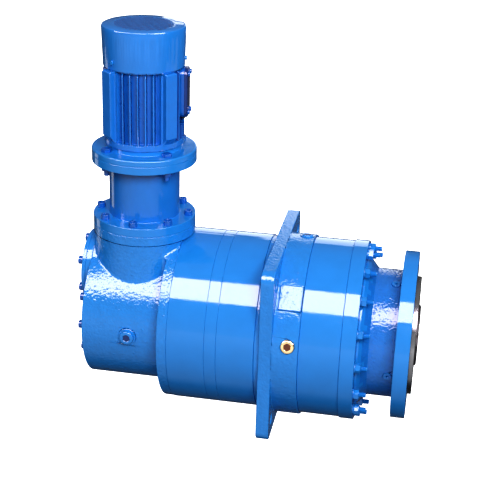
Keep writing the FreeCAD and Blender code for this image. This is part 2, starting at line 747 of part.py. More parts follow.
def first_ring_gear():
    blank = rod_x(STAGE1_R, X_SEAM, X_RING1_RIGHT)
    outline = ring_space_outline(RING1_TEETH, MODULE1, RING1_PHASE)
    teeth = polygon_x(outline, X_SEAM - 1.0, X_RING1_RIGHT + 1.0)
    return blank.cut([teeth] + holes_x(tie_places(), TIE_R + SCREW_GAP, X_SEAM - 1.0, X_RING1_RIGHT + 1.0))


def spacer_ring():
    ring = ring_x(STAGE1_R, STAGE1_R - SPACER_WALL, X_RING1_RIGHT, X_SPACER_RIGHT)
    return ring.cut(holes_x(tie_places(), TIE_R + SCREW_GAP, X_RING1_RIGHT - 1.0, X_SPACER_RIGHT + 1.0))


def intermediate_housing():
    """Middle tube with the web that carries the first carrier's bearing."""
    tube = ring_x(STAGE1_R, STAGE1_R - MID_WALL, X_SPACER_RIGHT, X_MID_RIGHT)
    web = rod_x(STAGE1_R - MID_WALL + 1.0, X_WEB_LEFT, X_WEB_RIGHT)
    seat = rod_x(CARRIER_BEARING[1], X_WEB_LEFT - 1.0, X_WEB_LEFT + CARRIER_BEARING[2])
    hole = rod_x(CARRIER_BEARING[1] - 6.0, X_WEB_LEFT, X_WEB_RIGHT + 1.0)
    ties = holes_x(tie_places(), TIE_R + SCREW_GAP, X_SPACER_RIGHT - 1.0, X_MID_RIGHT + 1.0)
    return joined(tube, web).cut([seat, hole] + ties)


def tie_screws():
    head_face = X_BARREL_RIGHT + TIE_SINK
    screws = []
    for y, z in tie_places():
        shank = rod_x(TIE_R, head_face, X_MID_RIGHT + TIE_GRIP, y, z)
        head = rod_x(TIE_HEAD_R, head_face - TIE_HEAD_H, head_face, y, z)
        screws.append(shank.fuse(head).removeSplitter())
    return group(screws)


# Mounting plate casting and second stage casing

def flange_housing():
    lip = rod_x(LIP_R, X_MID_RIGHT, X_PLATE_LEFT)
    plate = rounded_plate_x(PLATE_HALF, PLATE_HALF, PLATE_CORNER_R, X_PLATE_LEFT, X_PLATE_RIGHT)
    drum = rod_x(CAST_R, X_PLATE_RIGHT, X_CAST_RIGHT)
    pad = rounded_plate_x(CAST_PAD_L / 2.0, CAST_PAD_W / 2.0, 3.0, -20.0, CAST_PAD_PROUD)
    pad = outward(pad, CAST_R, CAST_PAD_ANGLE, CAST_PAD_X)
    body = joined(lip, plate, drum, pad)
    bore = rod_x(CAST_R - CAST_WALL, X_MID_RIGHT - 1.0, X_CAST_RIGHT + 1.0)
    corners = [(y, z) for y in (-PLATE_HOLE_HALF, PLATE_HOLE_HALF) for z in (-PLATE_HOLE_HALF, PLATE_HOLE_HALF)]
    thread = spot_hole(SIDE_PLUG_R, SIDE_PLUG_THREAD_R, 2.0 * CAST_WALL)
    cuts = [bore]
    cuts += holes_x(corners, PLATE_HOLE_R, X_PLATE_LEFT - 1.0, X_PLATE_RIGHT + 1.0)
    cuts += holes_x(tie_places(), TIE_R + THREAD_GAP, X_MID_RIGHT - 1.0, X_MID_RIGHT + TIE_GRIP + 3.0)
    cuts += holes_x(stud_places(), STUD_R + THREAD_GAP, X_CAST_RIGHT - STUD_GRIP - 3.0, X_CAST_RIGHT + 1.0)
    cuts.append(outward(thread.copy(), CAST_R, BRASS_PLUG_ANGLE, BRASS_PLUG_X))
    cuts.append(outward(thread.copy(), CAST_R, TOP_PLUG_ANGLE, TOP_PLUG_X))
    return body.cut(cuts)


def second_ring_gear():
    blank = rod_x(STAGE2_R, X_CAST_RIGHT, X_RING2_RIGHT)
    outline = ring_space_outline(RING2_TEETH, MODULE2, RING2_PHASE)
    teeth = polygon_x(outline, X_CAST_RIGHT - 1.0, X_RING2_RIGHT + 1.0)
    studs = holes_x(stud_places(), STUD_R + SCREW_GAP, X_CAST_RIGHT - 1.0, X_RING2_RIGHT + 1.0)
    return blank.cut([teeth] + studs)


# Output casing

def output_housing():
    cone_left = X_END_FLANGE + CONE_START
    body = turned_x([
        (X_RING2_RIGHT, CARRIER_ROOM_R),
        (X_RING2_RIGHT, END_FLANGE_R),
        (X_END_FLANGE, END_FLANGE_R),
        (X_END_FLANGE, CONE_R),
        (cone_left, CONE_R),
        (cone_left + CONE_L, NECK_R),
        (X_NECK, NECK_R),
        (X_NECK, OUTPUT_DISC_R),
        (0.0, OUTPUT_DISC_R),
        (0.0, SPIGOT_PILOT_R + PILOT_GAP),
        (-SPIGOT_PILOT_L, SPIGOT_PILOT_R + PILOT_GAP),
        (-SPIGOT_PILOT_L, OUT_BEARING_R),
        (X_OUT_BEARING2, OUT_BEARING_R),
        (X_OUT_BEARING2, OUT_SHOULDER_R),
        (X_OUT_BEARING1 + OUT_BEARING_W, OUT_SHOULDER_R),
        (X_OUT_BEARING1 + OUT_BEARING_W, OUT_BEARING_R),
        (X_OUT_BEARING1, OUT_BEARING_R),
        (X_OUT_BEARING1, CARRIER_ROOM_R)])
    cuts = holes_x(stud_places(), STUD_R + SCREW_GAP, X_RING2_RIGHT - 1.0, X_END_FLANGE + 1.0)
    output_places = [polar(OUTPUT_HOLE_PITCH_R, a) for a in circle_angles(OUTPUT_HOLES)]
    cuts += holes_x(output_places, OUTPUT_HOLE_R, X_NECK - 1.0, 1.0)
    for angle in GREASE_ANGLES:
        hole = spot_hole(GREASE_PLUG_R, GREASE_THREAD_R, NECK_R - OUT_BEARING_R - 2.0)
        cuts.append(outward(hole, NECK_R, angle, GREASE_PLUG_X))
    return body.cut(cuts)


def grease_plugs():
    plugs = []
    for angle in GREASE_ANGLES:
        screw = rod_x(GREASE_PLUG_R, -SPOT_DEPTH, 1.5).fuse(rod_x(GREASE_THREAD_R, -8.0, 0.0)).removeSplitter()
        screw = screw.cut(rod_x(GREASE_THREAD_R * 0.5, -4.0, 3.0))
        plugs.append(outward(screw, NECK_R, angle, GREASE_PLUG_X))
    return group(plugs)


def spigot_ring():
    """Bare machined ring that centres the driven machine and holds the outer bearing and seal."""
    relief_x = SPIGOT_L - OUT_SEAL_W
    return turned_x([
        (relief_x, OUT_SEAL_R),
        (relief_x, OUT_CUP_LIP_R),
        (-SPIGOT_PILOT_L, OUT_CUP_LIP_R),
        (-SPIGOT_PILOT_L, SPIGOT_PILOT_R),
        (0.0, SPIGOT_PILOT_R),
        (0.0, SPIGOT_R),
        (SPIGOT_L, SPIGOT_R),
        (SPIGOT_L, OUT_SEAL_R)])


def end_studs():
    left = X_CAST_RIGHT - STUD_GRIP
    right = X_END_FLANGE + STUD_PROUD
    return group([rod_x(STUD_R, left, right, y, z) for y, z in stud_places()])


def end_nuts():
    nuts = []
    for y, z in stud_places():
        washer = rod_x(WASHER_R, 0.0, WASHER_T)
        nut = hexagon_x(NUT_AF, WASHER_T, WASHER_T + NUT_H)
        pair = washer.fuse(nut).removeSplitter().cut(rod_x(STUD_R + THREAD_GAP, -1.0, WASHER_T + NUT_H + 1.0))
        pair.translate(V(X_END_FLANGE, y, z))
        nuts.append(pair)
    return group(nuts)


# Input adapter

def input_adapter():
    """Two-flange tube that carries the motor, with the cartridge of the pinion bearings below."""
    room_r = ADAPTER_TUBE_R - ADAPTER_TUBE_WALL
    seat_r = PINION_BEARING[1]
    seat_w = PINION_BEARING[2]
    floor = Z_ADAPTER_TOP + ADAPTER_FLOOR_T
    body = turned_z([
        (seat_r, TURRET_TOP_Z - NOSE_L),
        (NOSE_R, TURRET_TOP_Z - NOSE_L),
        (NOSE_R, TURRET_TOP_Z - PILOT_L - 3.0),
        (TURRET_BORE_R - PILOT_GAP, TURRET_TOP_Z - PILOT_L),
        (TURRET_BORE_R - PILOT_GAP, TURRET_TOP_Z),
        (ADAPTER_FLANGE_R, TURRET_TOP_Z),
        (ADAPTER_FLANGE_R, Z_ADAPTER_TOP),
        (ADAPTER_TUBE_R, Z_ADAPTER_TOP),
        (ADAPTER_TUBE_R, ADAPTER_TOP_FLANGE_Z),
        (MOTOR_FLANGE_R, ADAPTER_TOP_FLANGE_Z),
        (MOTOR_FLANGE_R, MOTOR_FACE_Z),
        (MOTOR_PILOT_R + PILOT_GAP, MOTOR_FACE_Z),
        (MOTOR_PILOT_R + PILOT_GAP, MOTOR_FACE_Z - MOTOR_PILOT_H - SIDE_GAP),
        (room_r, MOTOR_FACE_Z - MOTOR_PILOT_H - SIDE_GAP),
        (room_r, floor),
        (seat_r, floor),
        (seat_r, Z_HIGH_BEARING),
        (seat_r - 4.0, Z_HIGH_BEARING),
        (seat_r - 4.0, Z_LOW_BEARING + seat_w),
        (seat_r, Z_LOW_BEARING + seat_w)])
    cuts = holes_z(turret_screw_places(), M10[0] + SCREW_GAP, TURRET_TOP_Z - 1.0, Z_ADAPTER_TOP + 1.0)
    cuts += holes_z(motor_bolt_places(), M10[0] + SCREW_GAP, ADAPTER_TOP_FLANGE_Z - 1.0, MOTOR_FACE_Z + 1.0)
    return body.cut(cuts)


def adapter_screws():
    shank = ADAPTER_FLANGE_T + TURRET_FLANGE_T - 4.0
    places = turret_screw_places()
    return group([upright(socket_screw(M10, shank), MOTOR_X + x, y, Z_ADAPTER_TOP) for x, y in places])


# Motor casing

def motor_flange_shield():
    seat_r = MOTOR_BEARING[1]
    seat_low = MOTOR_FACE_Z + 4.0
    body = turned_z([
        (seat_r - 5.0, MOTOR_FACE_Z - MOTOR_PILOT_H),
        (MOTOR_PILOT_R, MOTOR_FACE_Z - MOTOR_PILOT_H),
        (MOTOR_PILOT_R, MOTOR_FACE_Z),
        (MOTOR_FLANGE_R, MOTOR_FACE_Z),
        (MOTOR_FLANGE_R, Z_MOTOR_FLANGE_TOP - 2.0),
        (MOTOR_FLANGE_R - 2.0, Z_MOTOR_FLANGE_TOP),
        (MOTOR_COLLAR_R, Z_MOTOR_FLANGE_TOP),
        (MOTOR_COLLAR_R, Z_FRAME_LOW),
        (CORE_R - PILOT_GAP, Z_FRAME_LOW),
        (CORE_R - PILOT_GAP, Z_FRAME_LOW + 5.0),
        (CORE_R - 6.0, Z_FRAME_LOW + 5.0),
        (CORE_R - 6.0, Z_MOTOR_FLANGE_TOP),
        (seat_r + 7.0, Z_MOTOR_FLANGE_TOP),
        (seat_r + 7.0, seat_low + MOTOR_BEARING[2]),
        (seat_r, seat_low + MOTOR_BEARING[2]),
        (seat_r, seat_low),
        (seat_r - 5.0, seat_low)])
    return body.cut(holes_z(motor_bolt_places(), M10[0] + SCREW_GAP, MOTOR_FACE_Z - 1.0, Z_MOTOR_FLANGE_TOP + 1.0))


def motor_bolts():
    """Flange bolts with hexagon heads above, and nuts with washers below."""
    solids = []
    tail = 10.0
    grip = Z_MOTOR_FLANGE_TOP - ADAPTER_TOP_FLANGE_Z
    for x, y in motor_bolt_places():
        bolt = hexagon_x(NUT_AF, 0.0, 6.4).fuse(rod_x(M10[0], -grip - NUT_H - tail, 0.0)).removeSplitter()
        nut = hex_nut(NUT_AF, M10[0] + THREAD_GAP, NUT_H)
        solids.append(upright(bolt, MOTOR_X + x, y, Z_MOTOR_FLANGE_TOP))
        solids.append(upright(nut, MOTOR_X + x, y, ADAPTER_TOP_FLANGE_Z - NUT_H))
    return group(solids)


def fin_block(offset, width, tip):
    """Upright wall on the -Y side of the motor, rooted in the frame wall and reaching out to a tip distance."""
    root = math.sqrt(((CORE_R + FRAME_R) / 2.0) ** 2 - offset ** 2)
    return Part.makeBox(width, tip - root, FRAME_L, V(MOTOR_X + offset - width / 2.0, -tip, Z_FRAME_LOW))


def about_motor(shape, angle):
    shape.rotate(V(MOTOR_X, 0, 0), ALONG_Z, angle)
    return shape


def fin_space(tip, top):
    """Round space that trims fins or pads, sloped out from the frame ring and chamfered at the top."""
    foot = Z_FRAME_LOW + FRAME_RING_H
    return turned_z([
        (CORE_R, foot),
        (FIN_TIP_R, foot),
        (tip, foot + PAD_FOOT_L),
        (tip, top - FIN_CHAMFER),
        (tip - FIN_CHAMFER, top),
        (CORE_R, top)])


def stator_frame():
    """Motor frame with straight parallel fins on four sides, a broad pad at each corner and a smooth foot ring."""
    barrel = ring_z(FRAME_R, CORE_R, Z_FRAME_LOW, Z_FRAME_TOP)
    foot_ring = ring_z(FIN_TIP_R, CORE_R, Z_FRAME_LOW, Z_FRAME_LOW + FRAME_RING_H)
    for_fins = fin_space(FIN_TIP_R, Z_FRAME_TOP - FIN_TOP_GAP)
    for_pads = fin_space(math.hypot(PAD_FACE_R, PAD_W / 2.0), Z_FRAME_TOP)
    offsets = [FIN_PITCH * (k - (FINS_PER_SIDE - 1) / 2.0) for k in range(FINS_PER_SIDE)]
    walls = []
    for quarter in range(4):
        turn = 90.0 * quarter
        walls += [about_motor(fin_block(offset, FIN_T, FIN_TIP_R), turn).common(for_fins) for offset in offsets]
        walls.append(about_motor(fin_block(0.0, PAD_W, PAD_FACE_R), turn + 45.0).common(for_pads))
    body = joined(barrel, foot_ring, *walls)
    room = terminal_block(FRAME_R - 4.0, FIN_TIP_R + 5.0, ENTRY_ROOM)
    base = terminal_block(CORE_R - 20.0, TERMINAL_BASE, 0.0)
    base = base.cut(rod_z(CORE_R, Z_FRAME_LOW, Z_COWL_TOP))
    body = body.cut(room).multiFuse([barrel, base]).removeSplitter()
    return about_motor(body, FRAME_TURN)


def terminal_block(near, far, below, inset=0.0):
    """Rounded block on the +X side of the motor, drawn in by an inset and reaching below the box."""
    half_y = TERMINAL_W / 2.0 - inset
    half_z = (TERMINAL_H + below) / 2.0 - inset
    middle = TERMINAL_LOW_Z + (TERMINAL_H - below) / 2.0
    return rounded_plate_x(half_y, half_z, TERMINAL_CORNER_R - inset, MOTOR_X + near, MOTOR_X + far, 0.0, middle)


def terminal_box():
    box = terminal_block(TERMINAL_BASE, TERMINAL_FACE, 0.0)
    room = terminal_block(TERMINAL_BASE + 3.0, TERMINAL_FACE + 1.0, 0.0, TERMINAL_WALL)
    entry = upright(rod_x(ENTRY_R + THREAD_GAP, -1.0, 2.0 * TERMINAL_WALL), *entry_place())
    bosses = [rod_x(M5[0] + 2.0, TERMINAL_BASE + MOTOR_X, TERMINAL_FACE + MOTOR_X, y, z) for y, z in lid_screw_places()]
    box = box.cut([room, entry]).multiFuse(bosses).removeSplitter()
    threads = holes_x(lid_screw_places(), M5[0] + THREAD_GAP, MOTOR_X + TERMINAL_BASE, MOTOR_X + TERMINAL_FACE + 1.0)
    return about_motor(box.cut(threads), FRAME_TURN)


def entry_place():
    return MOTOR_X + (TERMINAL_BASE + TERMINAL_FACE) / 2.0 + 0.5, 0.0, TERMINAL_LOW_Z


def lid_screw_places():
    half_y = TERMINAL_W / 2.0 - TERMINAL_CORNER_R * 0.75
    half_z = TERMINAL_H / 2.0 - TERMINAL_CORNER_R * 0.75
    middle = TERMINAL_LOW_Z + TERMINAL_H / 2.0
    return [(y, middle + z) for y in (-half_y, half_y) for z in (-half_z, half_z)]


def terminal_lid():
    face = TERMINAL_FACE + TERMINAL_LID_T
    lid = terminal_block(TERMINAL_FACE, face, 0.0)
    edges = [e for e in lid.Edges if all(v.X > MOTOR_X + face - 0.1 for v in e.Vertexes)]
    lid = lid.makeFillet(TERMINAL_LID_T * 0.5, edges)
    holes = holes_x(lid_screw_places(), M5[0] + SCREW_GAP, MOTOR_X + TERMINAL_BASE, MOTOR_X + face + 1.0)
    return about_motor(lid.cut(holes), FRAME_TURN)


def lid_screws():
    screws = []
    for y, z in lid_screw_places():
        screw = socket_screw(M5, TERMINAL_LID_T + 5.0)
        screw.translate(V(MOTOR_X + TERMINAL_FACE + TERMINAL_LID_T, y, z))
        screws.append(about_motor(screw, FRAME_TURN))
    return group(screws)


def entry_plug():
    """Blank plug of the cable entry, screwed up into the terminal box from below."""
    body = hexagon_x(ENTRY_AF, -ENTRY_H, 0.0).fuse(rod_x(ENTRY_R, 0.0, TERMINAL_WALL)).removeSplitter()
    return about_motor(upright(body, *entry_place()), FRAME_TURN)


def stator_core():
    return ring_z(CORE_R, CORE_BORE_R, Z_CORE_LOW, Z_CORE_TOP)


def stator_windings():
    low = ring_z(WINDING_R, WINDING_BORE_R, Z_CORE_LOW - WINDING_L, Z_CORE_LOW)
    high = ring_z(WINDING_R, WINDING_BORE_R, Z_CORE_TOP, Z_CORE_TOP + WINDING_L)
    return group([low, high])


def rear_end_shield():
    seat_r = MOTOR_BEARING[1]
    top = Z_FRAME_TOP + REAR_SHIELD_T
    rim_r = COWL_LOW_R - COWL_SHEET - PILOT_GAP
    body = turned_z([
        (seat_r, Z_FRAME_TOP - 5.0),
        (seat_r + 6.0, Z_FRAME_TOP - 5.0),
        (seat_r + 6.0, Z_FRAME_TOP),
        (CORE_R - 8.0, Z_FRAME_TOP),
        (CORE_R - 8.0, Z_FRAME_TOP - 4.0),
        (CORE_R - PILOT_GAP, Z_FRAME_TOP - 4.0),
        (CORE_R - PILOT_GAP, Z_FRAME_TOP),
        (rim_r, Z_FRAME_TOP),
        (rim_r, COWL_SCREW_Z + 5.0),
        (rim_r - COWL_SEAT_WALL, COWL_SCREW_Z + 5.0),
        (rim_r - COWL_SEAT_WALL, Z_FRAME_TOP + 7.0),
        (seat_r + 7.0, top),
        (seat_r - 5.0, top),
        (seat_r - 5.0, top - 3.0),
        (seat_r, top - 3.0)])
    return body.cut(cowl_screw_holes(M4[0] + THREAD_GAP))


def fan_cowl():
    """Drawn sheet cowl with a slotted grille in its top."""
    corner = COWL_CORNER
    sheet = COWL_SHEET
    shell = turned_z([
        (COWL_LOW_R - sheet, COWL_LOW_Z),
        (COWL_LOW_R, COWL_LOW_Z),
        (COWL_TOP_R, Z_COWL_TOP - corner),
        (COWL_TOP_R - corner * 0.3, Z_COWL_TOP - corner * 0.3),
        (COWL_TOP_R - corner, Z_COWL_TOP),
        (0.0, Z_COWL_TOP),
        (0.0, Z_COWL_TOP - sheet),
        (COWL_TOP_R - corner, Z_COWL_TOP - sheet),
        (COWL_TOP_R - sheet, Z_COWL_TOP - corner)])
    slots = []
    rows = int(GRILLE_R / GRILLE_PITCH)
    for row in range(-rows, rows + 1):
        offset = row * GRILLE_PITCH
        half = math.sqrt(max(0.0, GRILLE_R ** 2 - offset ** 2)) - GRILLE_SLOT_W
        if half > GRILLE_SLOT_W * 2.0:
            slot = Part.makeBox(
                GRILLE_SLOT_W, 2.0 * half, 4.0 * sheet,
                V(offset - GRILLE_SLOT_W / 2.0, -half, Z_COWL_TOP - 3.0 * sheet))
            slot.rotate(ORIGIN, ALONG_Z, -GRILLE_ANGLE)
            slot.translate(V(MOTOR_X, 0, 0))
            slots.append(slot)
    return shell.cut(slots + cowl_screw_holes(M4[0] + SCREW_GAP))


def beside_motor(shape, angle):
    """A piece made along +X from the motor axis, turned to an angle from -Y towards +X."""
    shape.translate(V(MOTOR_X, 0, COWL_SCREW_Z))
    return about_motor(shape, math.degrees(angle) - 90.0)


def cowl_screw_holes(radius):
    inner = COWL_LOW_R - COWL_SHEET - COWL_SEAT_WALL - 2.0
    return [beside_motor(rod_x(radius, inner, COWL_TOP_R + 5.0), a) for a in COWL_SCREW_ANGLES]


def cowl_screws():
    share = (COWL_SCREW_Z + M4[1] - COWL_LOW_Z) / (COWL_H - COWL_CORNER)
    seat = COWL_LOW_R + (COWL_TOP_R - COWL_LOW_R) * share
    screws = []
    for angle in COWL_SCREW_ANGLES:
        screw = socket_screw(M4, COWL_SHEET + COWL_SEAT_WALL)
        screw.translate(V(seat, 0, 0))
        screws.append(beside_motor(screw, angle))
    return group(screws)


# Bearings and seals

def ball_bearing_x(size, left, z=0.0):
    bore, outer, width = size
    return ring_x(outer, bore, left, left + width, z)


def ball_bearing_z(size, low):
    bore, outer, width = size
    return ring_z(outer, bore, low, low + width)


def running(size):
    """A bearing whose bore clears the shaft that turns in it."""
    return size[0] + RUN_GAP, size[1], size[2]


def sun_shaft_bearings():
    left = ball_bearing_x(running(SUN_BEARING), X_COVER_IN - SUN_BEARING[2] + 2.0)
    right = ball_bearing_x(running(SUN_BEARING), X_SEAM - SUN_BEARING[2])
    return group([left, right])


def layshaft_bearings():
    left = ball_bearing_x(running(LAY_BEARING), X_BOSS_OUT, LAY_Z)
    right = ball_bearing_x(running(LAY_BEARING), X_BEARING_RIGHT - LAY_BEARING[2], LAY_Z)
    return group([left, right])


def pinion_bearings():
    low = ball_bearing_z(running(PINION_BEARING), Z_LOW_BEARING)
    high = ball_bearing_z(running(PINION_BEARING), Z_HIGH_BEARING)
    return group([low, high])


def motor_bearings():
    low = ball_bearing_z(running(MOTOR_BEARING), MOTOR_FACE_Z + 4.0)
    high = ball_bearing_z(running(MOTOR_BEARING), Z_FRAME_TOP + REAR_SHIELD_T - 3.0 - MOTOR_BEARING[2])
    return group([low, high])


def carrier_bearing():
    return ball_bearing_x(running(CARRIER_BEARING), X_WEB_LEFT)


def taper_ring(left, wide_left, inner, outer, inset=0.0, gap=0.0):
    """Ring across an output bearing between two cones, whose radii are given as (narrow end, wide end)."""
    corners = []
    for share in (inset / OUT_BEARING_W, 1.0 - inset / OUT_BEARING_W):
        wide = 1.0 - share if wide_left else share
        low = inner[0] + (inner[1] - inner[0]) * wide + gap
        high = outer[0] + (outer[1] - outer[0]) * wide - gap
        corners.append((left + OUT_BEARING_W * share, low, high))
    (x0, low0, high0), (x1, low1, high1) = corners
    return turned_x([(x0, low0), (x0, high0), (x1, high1), (x1, low1)])


def output_bearing_cups():
    outer = (OUT_BEARING_R, OUT_BEARING_R)
    return group([taper_ring(left, wide, CUP_RADII, outer) for left, wide in OUT_BEARINGS])


def output_bearing_cones():
    inner = (OUT_SEAT_R, OUT_SEAT_R)
    return group([taper_ring(left, wide, inner, CONE_RADII) for left, wide in OUT_BEARINGS])


def output_bearing_rollers():
    """Each row of tapered rollers, held in its cage, as one ring between cup and cone."""
    return group([
        taper_ring(left, wide, CONE_RADII, CUP_RADII, ROLLER_INSET, AIR_GAP) for left, wide in OUT_BEARINGS])


def shaft_seals():
    """Lip seals of the output shaft and of the pinion shaft."""
    output = ring_x(OUT_SEAL_R, SHAFT_END_R + RUN_GAP, SPIGOT_L - OUT_SEAL_W, SPIGOT_L)
    low = Z_HIGH_BEARING + PINION_BEARING[2]
    pinion = ring_z(PINION_BEARING[1], PINION_STUB_R + RUN_GAP, low, Z_ADAPTER_TOP + ADAPTER_FLOOR_T)
    return group([output, pinion])


# Motor rotor and bevel pinion

def rotor_shaft():
    bearing_low = MOTOR_FACE_Z + 4.0
    bearing_r = MOTOR_BEARING[0]
    top = Z_FAN_LOW + FAN_H - 4.0
    low_shoulder = bearing_low + MOTOR_BEARING[2]
    high_shoulder = Z_FRAME_TOP + REAR_SHIELD_T - 3.0 - MOTOR_BEARING[2]
    return turned_z([
        (0.0, Z_SHAFT_LOW),
        (MOTOR_SHAFT_R, Z_SHAFT_LOW),
        (MOTOR_SHAFT_R, bearing_low),
        (bearing_r, bearing_low),
        (bearing_r, low_shoulder),
        (CORE_SHAFT_R, low_shoulder),
        (CORE_SHAFT_R, high_shoulder),
        (bearing_r, high_shoulder),
        (bearing_r, high_shoulder + MOTOR_BEARING[2]),
        (MOTOR_SHAFT_R, high_shoulder + MOTOR_BEARING[2]),
        (MOTOR_SHAFT_R, top),
        (0.0, top)])


def rotor_core():
    return ring_z(CORE_BORE_R - AIR_GAP, CORE_SHAFT_R, Z_CORE_LOW, Z_CORE_TOP)


def cooling_fan():
    hub = ring_z(FAN_HUB_R, MOTOR_SHAFT_R, Z_FAN_LOW, Z_FAN_LOW + FAN_H)
    disc = ring_z(FAN_R, FAN_HUB_R - 1.0, Z_FAN_LOW, Z_FAN_LOW + 3.0)
    blades = []
    for angle in circle_angles(FAN_BLADES):
        blade = Part.makeBox(
            FAN_R - FAN_HUB_R, FAN_BLADE_T, FAN_H - 4.0,
            V(FAN_HUB_R - 0.5, -FAN_BLADE_T / 2.0, Z_FAN_LOW + 1.0))
        blade.rotate(ORIGIN, ALONG_Z, math.degrees(angle))
        blade.translate(V(MOTOR_X, 0, 0))
        blades.append(blade)
    return joined(hub, disc, *blades)


def coupling_sleeve():
    low = Z_PINION_END - COUPLING_LOW_GRIP
    high = Z_SHAFT_LOW + COUPLING_HIGH_GRIP
    return turned_z([
        (PINION_STUB_R, low),
        (COUPLING_R, low),
        (COUPLING_R, high),
        (MOTOR_SHAFT_R, high),
        (MOTOR_SHAFT_R, Z_SHAFT_LOW),
        (PINION_STUB_R, Z_SHAFT_LOW)])


def bevel_pinion():
    """Pinion in one piece with its shaft; its apex is on the layshaft axis."""
    phase = math.pi * (1.0 + 1.0 / PINION_TEETH)
    teeth = upright(bevel_teeth(PINION_TEETH, WHEEL_TEETH, phase, True), MOTOR_X, 0.0, LAY_Z)
    back = LAY_Z + bevel_back(PINION_TEETH, WHEEL_TEETH)
    shaft = turned_z([
        (0.0, back),
        (PINION_BEARING[0] + 3.0, back),
        (PINION_BEARING[0] + 3.0, Z_LOW_BEARING),
        (PINION_BEARING[0], Z_LOW_BEARING),
        (PINION_BEARING[0], Z_HIGH_BEARING + PINION_BEARING[2]),
        (PINION_STUB_R, Z_HIGH_BEARING + PINION_BEARING[2]),
        (PINION_STUB_R, Z_PINION_END),
        (0.0, Z_PINION_END)])
    return joined(teeth, shaft)


# Layshaft

def bevel_wheel():
    """Bevel wheel on the layshaft, teeth facing the pinion."""
    teeth = bevel_teeth(WHEEL_TEETH, PINION_TEETH, math.pi / 2.0, False)
    teeth.rotate(ORIGIN, ALONG_Z, 180)
    teeth.translate(V(MOTOR_X, 0, LAY_Z))
    back = MOTOR_X - bevel_back(WHEEL_TEETH, PINION_TEETH)
    hub = rod_x(LAY_BEARING[0] + 11.0, back - WHEEL_HUB_L, back, 0.0, LAY_Z)
    bore = rod_x(LAY_BEARING[0] + 2.0, back - WHEEL_HUB_L - 1.0, MOTOR_X, 0.0, LAY_Z)
    return joined(teeth, hub).cut(bore)


def layshaft():
    """Layshaft with the spur pinion cut on it."""
    bearing_r = LAY_BEARING[0]
    seat_r = bearing_r + 2.0
    left_shoulder = X_BOSS_OUT + LAY_BEARING[2]
    right_shoulder = X_BEARING_RIGHT - LAY_BEARING[2]
    shaft = turned_x([
        (X_BOSS_OUT + 1.0, 0.0),
        (X_BOSS_OUT + 1.0, bearing_r),
        (left_shoulder, bearing_r),
        (left_shoulder, seat_r),
        (right_shoulder, seat_r),
        (right_shoulder, bearing_r),
        (X_BEARING_RIGHT - 1.0, bearing_r),
        (X_BEARING_RIGHT - 1.0, 0.0)], LAY_Z)
    outline = spur_outline(LAY_PINION_TEETH, SPUR_MODULE, LAY_PINION_PHASE)
    teeth = polygon_x([(y, z + LAY_Z) for y, z in outline], X_SPUR_LEFT, X_SPUR_RIGHT)
    return joined(shaft, teeth)


# First stage gears

def input_spur_gear():
    outline = spur_outline(INPUT_GEAR_TEETH, SPUR_MODULE, INPUT_GEAR_PHASE)
    gear = polygon_x(outline, X_SPUR_LEFT, X_SPUR_RIGHT)
    return gear.cut(rod_x(SUN_SHAFT_R + 3.0, X_SPUR_LEFT - 1.0, X_SPUR_RIGHT + 1.0))


def first_sun_shaft():
    """Shaft from the rear cover to the first stage, with the sun teeth at its right end."""
    gear_seat_r = SUN_SHAFT_R + 3.0
    left = X_COVER_IN - SUN_BEARING[2] + 3.0
    shaft = turned_x([
        (left, 0.0),
        (left, SUN_SHAFT_R),
        (X_COVER_IN + 2.0, SUN_SHAFT_R),
        (X_COVER_IN + 2.0, gear_seat_r),
        (X_SEAM - SUN_BEARING[2], gear_seat_r),
        (X_SEAM - SUN_BEARING[2], SUN_SHAFT_R),
        (X_FACE1_LEFT, SUN_SHAFT_R),
        (X_FACE1_LEFT, 0.0)])
    teeth = polygon_x(spur_outline(SUN1_TEETH, MODULE1, SUN1_PHASE), X_FACE1_LEFT, X_FACE1_RIGHT)
    return joined(shaft, teeth)


def planet(teeth, module, phase, direction, centres, pin_r, left, right):
    y, z = polar(centres, direction)
    outline = [(y + py, z + pz) for py, pz in spur_outline(teeth, module, phase)]
    return polygon_x(outline, left, right).cut(rod_x(pin_r + RUN_GAP, left - 1.0, right + 1.0, y, z))


def first_planet(index):
    return planet(
        PLANET1_TEETH, MODULE1, PLANET1_PHASES[index], PLANET_ANGLES[index],
        CENTRES1, PIN1_R, X_FACE1_LEFT, X_FACE1_RIGHT)


def second_planet(index):
    return planet(
        PLANET2_TEETH, MODULE2, PLANET2_PHASES[index], PLANET_ANGLES[index],
        CENTRES2, PIN2_R, X_FACE2_LEFT, X_FACE2_RIGHT)


def carrier_posts(centres, outer, left, right):
    """Bridges that join the two plates of a carrier between its planets."""
    posts = []
    for angle in PLANET_ANGLES:
        post = Part.makeBox(
            right - left, outer - centres + POST_IN, POST_W,
            V(left, centres - POST_IN, -POST_W / 2.0))
        post.rotate(ORIGIN, ALONG_X, math.degrees(angle + math.pi / PLANETS))
        posts.append(post.common(rod_x(outer, left, right)))
    return posts


